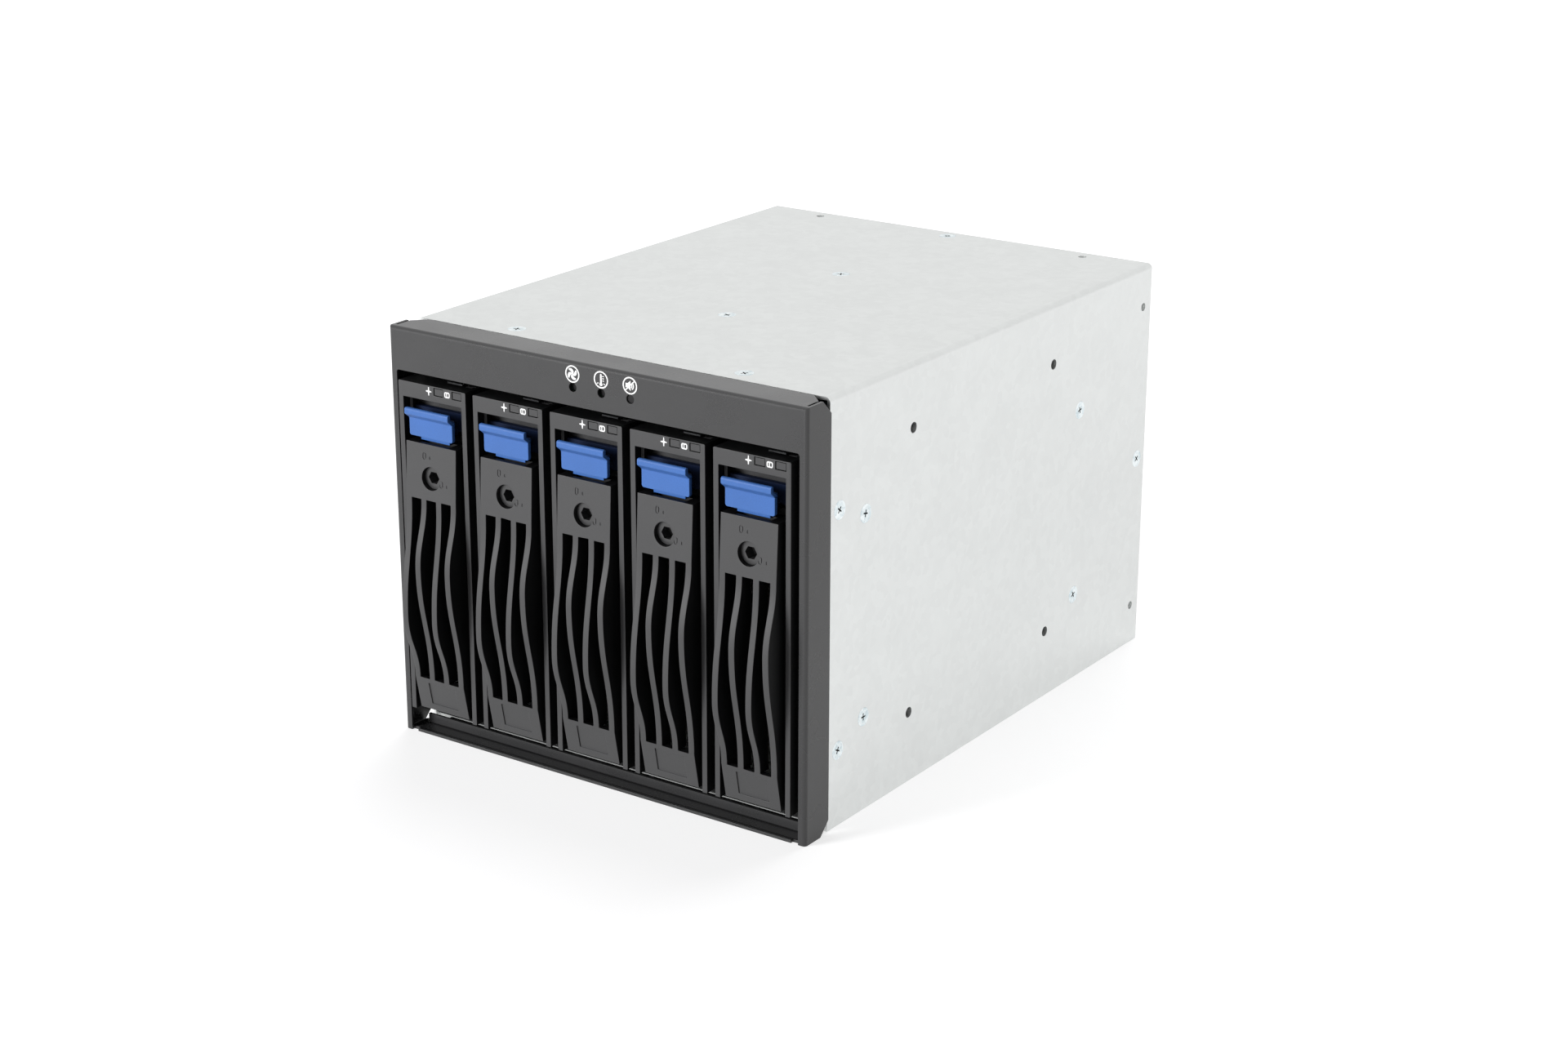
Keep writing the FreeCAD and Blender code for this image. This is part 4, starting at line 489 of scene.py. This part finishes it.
cross_recess(master, bolt_reach * bolt_head, bolt_wide * bolt_head, bolt_recess)
bpy.ops.object.shade_smooth_by_angle(angle=math.radians(30))
for number, (low, high) in enumerate(bolts, start=1):
    screw = bpy.data.objects.new("fan_screw_%d" % number, master.data.copy())
    bpy.context.scene.collection.objects.link(screw)
    screw.data.transform(
        Matrix.Translation(((low.x + high.x) / 2, high.y, (low.z + high.z) / 2))
        @ Matrix.Rotation(-math.pi / 2, 4, "X") @ Matrix.Rotation(number * bolt_turn, 4, "Z"))
    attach(screw, "cage")
    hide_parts("fan_screws")
bpy.data.objects.remove(master)

# ---- Front bezel ---------------------------------------------------------------------------
# Steel sheet, cut and folded into a shallow frame; its powder coat and the sill angle's bake to
# a satin black skin with a fine orange peel.  Behind round holes in its face lie two lenses of
# dark polycarbonate and the mute button, of matt black ABS.
powder_coat = moulded("black_powder_coat", "#29292a", 0.5 * MM, 0.27, 0.1, 0.68)
softened("front_bezel", 0.18 * MM, powder_coat)
finish_with(powder_coat, "sill_angle")
dark_lens = moulded("dark_polycarbonate", "#0e0e0f", 0.8 * MM, 0.4, 0.05, 0.25)
finish_with(dark_lens, "alarm_lenses")
button_abs = moulded("matt_black_abs", "#161617", 0.4 * MM, 0.45, 0.1, 0.3)
finish_with(button_abs, "mute_button")

# ---- Symbols on the bezel ------------------------------------------------------------------
# White two part ink, pad printed above the alarm lamps: a fan, a thermometer and a crossed
# out speaker, each in a ring.  The film is a few hundredths of a millimetre thick.
ink = moulded("white_printing_ink", "#f0f0f0", 0.6 * MM, 0.5, 0.03)
ink_film = 0.04
ink_step = 0.02


def circle(x, z, radius, count=40):
    """The outline of a disc, in mm."""
    return [(x + radius * math.cos(2 * math.pi * step / count),
             z + radius * math.sin(2 * math.pi * step / count)) for step in range(count)]


def stroke(points, widths):
    """The outline of a line drawn through the points with the given widths, in mm."""
    left, right = [], []
    for step, (x, z) in enumerate(points):
        ahead = points[min(step + 1, len(points) - 1)]
        behind = points[max(step - 1, 0)]
        way = math.atan2(ahead[1] - behind[1], ahead[0] - behind[0])
        half = widths[step] / 2
        left.append((x - half * math.sin(way), z + half * math.cos(way)))
        right.append((x + half * math.sin(way), z - half * math.cos(way)))
    return left + right[::-1]


def rounded(x, z, wide, tall, corner, count=6):
    """The outline of a rectangle with round corners, in mm."""
    points = []
    for quarter, (side, level) in enumerate(((1, 1), (-1, 1), (-1, -1), (1, -1))):
        for step in range(count + 1):
            turn = math.pi / 2 * (quarter + step / count)
            points.append((x + side * (wide / 2 - corner) + corner * math.cos(turn),
                           z + level * (tall / 2 - corner) + corner * math.sin(turn)))
    return points


def flat_shape(outlines, thick):
    """A thin mesh of nested or separate outlines in the XY plane, centred on Z 0."""
    curve = bpy.data.curves.new("outline", "CURVE")
    curve.dimensions = "2D"
    curve.fill_mode = "BOTH"
    curve.extrude = thick / 2
    for outline in outlines:
        line = curve.splines.new("POLY")
        line.points.add(len(outline) - 1)
        for point, (x, z) in zip(line.points, outline):
            point.co = (x * MM, z * MM, 0, 1)
        line.use_cyclic_u = True
    holder = bpy.data.objects.new("outline", curve)
    bpy.context.scene.collection.objects.link(holder)
    pick(holder)
    bpy.ops.object.convert(target="MESH")
    shape = bpy.context.object
    bpy.ops.object.mode_set(mode="EDIT")
    bpy.ops.mesh.select_all(action="SELECT")
    bpy.ops.mesh.remove_doubles(threshold=0.001 * MM)
    bpy.ops.mesh.normals_make_consistent(inside=False)
    bpy.ops.object.mode_set(mode="OBJECT")
    return shape


def printed(name, layers, spot, body):
    """Ink on a face that looks along -Y; each later layer lies a little prouder."""
    films = []
    for step, outlines in enumerate(layers):
        film = flat_shape(outlines, (ink_film + ink_step * step) * MM)
        film.data.transform(Matrix.Translation(spot) @ Matrix.Rotation(math.pi / 2, 4, "X"))
        films.append(film)
    bpy.ops.object.select_all(action="DESELECT")
    for film in films:
        film.select_set(True)
    bpy.context.view_layer.objects.active = films[0]
    if len(films) > 1:
        bpy.ops.object.join()
    piece = films[0]
    piece.name = name
    piece.data.materials.clear()
    piece.data.materials.append(ink)
    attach(piece, body)


ring_radius = 2.5
ring_line = 0.4
ring = [circle(0, 0, ring_radius), circle(0, 0, ring_radius - ring_line)]
blades = []
for blade in range(4):
    steps = [step / 8 for step in range(9)]
    turns = [math.radians(90 * blade + 62 + 72 * step) for step in steps]
    blades.append(stroke(
        [((0.3 + 1.45 * step) * math.cos(turn), (0.3 + 1.45 * step) * math.sin(turn))
         for step, turn in zip(steps, turns)],
        [0.26 + 0.62 * math.sin(math.pi * (0.1 + 0.8 * step)) for step in steps]))
bulb = [(0.52 * math.cos(math.radians(turn)), -1.3 + 0.52 * math.sin(math.radians(turn)))
        for turn in range(125, 416, 15)]
stem = bulb + [(0.26, 1.5), (0, 1.75), (-0.26, 1.5)]
ticks = [rounded(0.78, level, 0.62, 0.26, 0.1) for level in (1.05, 0.4, -0.25)]
waves = [stroke([(side * (0.85 + 0.2 * step), -1.15 + 0.14 * math.sin(step * 1.6))
                 for step in range(4)], [0.26] * 4) for side in (-1, 1)]
speaker = [[(-1.5, -0.62), (-0.8, -0.62), (0.25, -1.45), (0.25, 1.45), (-0.8, 0.62),
            (-1.5, 0.62)]]
for reach in (0.72, 1.25):
    speaker.append(stroke(
        [(reach * math.cos(math.radians(turn)), reach * math.sin(math.radians(turn)))
         for turn in range(-52, 53, 13)], [0.34] * 9))
slash = stroke([(-1.62, -1.5), (1.62, 1.5)], [0.34, 0.34])
bezel_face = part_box("front_bezel")[0].y
lamp_low, lamp_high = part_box("alarm_lenses")
lamp_level = (lamp_low.z + lamp_high.z) / 2
lamp_radius = (lamp_high.z - lamp_low.z) / 2
button_low, button_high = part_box("mute_button")
symbol_rise = 3.9 * MM
for name, layers, x in (
        ("fan_alarm_symbol", [ring + blades + [circle(0, 0, 0.3)]], lamp_low.x + lamp_radius),
        ("heat_alarm_symbol", [ring + [stem] + ticks + waves], lamp_high.x - lamp_radius),
        ("mute_symbol", [ring + speaker, [slash]], (button_low.x + button_high.x) / 2)):
    printed(name, layers, (x, bezel_face, lamp_level + symbol_rise), "cage")

# ---- Trays ---------------------------------------------------------------------------------
# Front and lever are moulded in black ABS with a matt grained face; their faces that do not
# look forward and the walls sunk round the lock take a near black copy of it, painted shade.
# The latch is blue ABS; its faces behind the front take a dark navy copy, painted shade.  The
# sled is galvanised steel, the light pipes are smoked polycarbonate and the lock barrel is die
# cast and blackened.
black_abs = moulded("black_abs", "#383839", 0.3 * MM, 0.45, 0.1, 0.56)
# Near black copy of the black ABS: painted shade for faces turned away from the front and for
# the walls round the lock.
painted_shade_black_abs = moulded("painted_shade_black_abs", "#0b0b0c", 0.4 * MM, 0.5, 0.05, 0.22)
blue_abs = moulded("blue_abs", "#3a65a8", 0.4 * MM, 0.42, 0.08)
# Dark navy copy of the blue ABS: painted shade for the latch behind its face.
painted_shade_blue_abs = moulded("painted_shade_blue_abs", "#0b1730", 0.4 * MM, 0.6, 0.1, 0.2)
smoked = moulded("smoked_polycarbonate", "#343435", 0.8 * MM, 0.34, 0.05, 0.6)
die_cast = moulded("black_die_cast", "#29292a", 0.4 * MM, 0.38, 0.12, 0.75)

plug_sign = [[(-0.15, 1.5), (0.15, 1.5), (0.24, 0.34), (1.25, 0.1), (1.25, -0.1),
              (0.24, -0.3), (0.17, -1.4), (-0.17, -1.4), (-0.24, -0.34), (-1.2, -0.14),
              (-1.2, 0.12), (-0.24, 0.38)]]
disk_sign = [rounded(0, 0, 2.35, 2.0, 0.6), rounded(-0.5, 0, 0.42, 1.14, 0.18),
             rounded(0.42, 0, 0.72, 1.14, 0.2)]
sign_size = 0.87
sign_drop = 1.75 * MM
lock_mark = [rounded(0, 0, 1.3, 2.2, 0.6), rounded(0, 0, 0.7, 1.6, 0.3),
             rounded(2.15, -0.35, 0.5, 0.95, 0.2)]
mark_places = ((-2.5, 6.6), (4.0, -1.0))
mark_thick = 0.3 * MM
sunk_deep = 0.3 * MM
head_share = 1.7
socket_reach = 0.75
socket_share = 0.82
socket_deep = 5 * MM
face_deep = 1 * MM
for bay in range(1, 6):
    tray = "tray_%d_" % bay
    finish_with(galvanised, tray + "sled")
    finish_with(zinc_plate, tray + "hinge_set")
    finish_with(smoked, tray + "light_pipes")
    front_low, front_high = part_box(tray + "front")
    lock_low, lock_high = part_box(tray + "lock")
    lock_radius = (lock_high.z - lock_low.z) / 2
    axis = Vector((lock_low.x + lock_radius, lock_low.y, lock_low.z + lock_radius))

    lever = softened(tray + "lever", 0.22 * MM, black_abs)
    for across, rise in mark_places:
        before = axis + Vector((across * MM, -20 * MM, rise * MM))
        spot, normal = lever.ray_cast(before, Vector((0, 1, 0)))[1:3]
        stamp = flat_shape(lock_mark, mark_thick)
        stamp.data.transform(Matrix.Translation(spot)
                             @ normal.to_track_quat("Z", "Y").to_matrix().to_4x4())
        engraving = lever.modifiers.new("engraving", "BOOLEAN")
        engraving.object = stamp
        engraving.operation = "DIFFERENCE"
        engraving.solver = "EXACT"
        bpy.context.view_layer.objects.active = lever
        bpy.ops.object.modifier_apply(modifier=engraving.name)
        bpy.data.objects.remove(stamp)
    even_shading(lever)

    front = softened(tray + "front", 0.16 * MM, black_abs)
    # Faces that do not look forward, and walls sunk round the lock, take the near black copy:
    # painted shade.
    for piece in (front, lever):
        piece.data.materials.append(painted_shade_black_abs)
        for face in piece.data.polygons:
            away = face.center - axis
            near_lock = math.hypot(away.x, away.z) < head_share * lock_radius
            sunk = near_lock and (face.center - spot).dot(normal) < -sunk_deep
            face.material_index = int(face.normal.y > -0.5 or sunk)

    barrel = softened(tray + "lock", 0.12 * MM, die_cast)
    for corner in barrel.data.vertices:
        out = Vector((corner.co.x - axis.x, 0, corner.co.z - axis.z))
        if out.length < socket_reach * lock_radius and corner.co.y < axis.y + socket_deep:
            corner.co -= out * (1 - socket_share)

    latch = softened(tray + "latch", 0.25 * MM, blue_abs)
    # Latch faces behind the tray front take the dark navy copy: painted shade.
    latch.data.materials.append(painted_shade_blue_abs)
    for face in latch.data.polygons:
        face.material_index = int(face.center.y > front_low.y + face_deep)

    for sign, outlines, across in (("power", plug_sign, -1.1), ("disk", disk_sign, 5.9)):
        spot = Vector(((front_low.x + front_high.x) / 2 + across * MM, front_low.y,
                       front_high.z - sign_drop))
        small = [[(sign_size * x, sign_size * z) for x, z in outline] for outline in outlines]
        printed(tray + sign + "_symbol", [small], spot, "tray_%d" % bay)

# ---- Studio --------------------------------------------------------------------------------
# A pale floor and room that look white but light the object softly, one large key lamp from
# the left with a weaker one beside it for the sheen, a lamp above, and the camera.
floor_wide = 14
lamp_wide = 1.4
floor_paint, surface, place = new_finish("studio_floor")
surface.inputs["Base Color"].default_value = linear("#bdbdbe")
surface.inputs["Roughness"].default_value = 0.85
surface.inputs["Specular IOR Level"].default_value = 0.0
surface.inputs["Emission Color"].default_value = linear("#ffffff")


def seen_directly(owner):
    """One where the camera, a mirror image or a clear piece sees the surface, zero elsewhere."""
    ray = add_node(owner, "ShaderNodeLightPath")
    seen = ray.outputs["Is Camera Ray"]
    for way in ("Is Glossy Ray", "Is Transmission Ray"):
        seen = add_node(owner, "ShaderNodeMath", {0: seen, 1: ray.outputs[way]},
                        operation="MAXIMUM").outputs[0]
    return seen


spread = add_node(floor_paint, "ShaderNodeVectorMath", {0: place}, operation="LENGTH")
fade = add_node(floor_paint, "ShaderNodeMapRange", {
    "Value": spread.outputs["Value"], "From Min": 0.25, "From Max": 1.3, "To Min": 0.68,
    "To Max": 1.0})
glow = add_node(floor_paint, "ShaderNodeMath", {
    0: seen_directly(floor_paint), 1: fade.outputs["Result"]}, operation="MULTIPLY")
floor_paint.node_tree.links.new(glow.outputs[0], surface.inputs["Emission Strength"])
bpy.ops.object.select_all(action="DESELECT")
bpy.ops.mesh.primitive_grid_add(x_subdivisions=8, y_subdivisions=8, size=floor_wide,
                                location=(0, 0, 0))
floor = bpy.context.object
floor.name = "floor"
floor.data.materials.append(floor_paint)

world = bpy.data.worlds.new("studio_world")
bpy.context.scene.world = world
world.use_nodes = True
sky = world.node_tree.nodes["Background"]
sky.inputs["Color"].default_value = linear("#ffffff")
level = add_node(world, "ShaderNodeMapRange", {"Value": seen_directly(world),
                                               "To Min": 0.08, "To Max": 1.0})
world.node_tree.links.new(level.outputs["Result"], sky.inputs["Strength"])

lamp_aim = Vector((0, 0, 0.06))
for name, spot, power, mirrored in (("key_lamp", (-1.8, -2.9, 0.9), 118, False),
                                    ("soft_box", (-1.8, -2.9, 0.9), 48, True),
                                    ("top_lamp", (-0.2, 0.9, 1.7), 26, False)):
    lamp = bpy.data.lights.new(name, "AREA")
    lamp.shape = "DISK"
    lamp.size = lamp_wide
    lamp.energy = power
    holder = bpy.data.objects.new(name, lamp)
    bpy.context.scene.collection.objects.link(holder)
    holder.location = spot
    holder.rotation_euler = (lamp_aim - Vector(spot)).to_track_quat("-Z", "Y").to_euler()
    holder.visible_camera = False
    holder.visible_glossy = mirrored

camera = bpy.data.cameras.new("camera")
camera.lens = 64.87
camera.sensor_width = 36
azimuth = math.radians(34.646)
elevation = math.radians(18.993)
roll = math.radians(0.141)
distance = 0.8818
camera_aim = Vector((-0.0006, -0.0115, 0.05346))
back = Vector((math.sin(azimuth) * math.cos(elevation), -math.cos(azimuth) * math.cos(elevation),
               math.sin(elevation)))
eye = bpy.data.objects.new("camera", camera)
bpy.context.scene.collection.objects.link(eye)
eye.matrix_world = (Matrix.Translation(camera_aim + back * distance)
                    @ Matrix.Rotation(azimuth, 4, "Z")
                    @ Matrix.Rotation(math.pi / 2 - elevation, 4, "X")
                    @ Matrix.Rotation(roll, 4, "Z"))
bpy.context.scene.camera = eye
bpy.context.scene.view_settings.view_transform = "Standard"
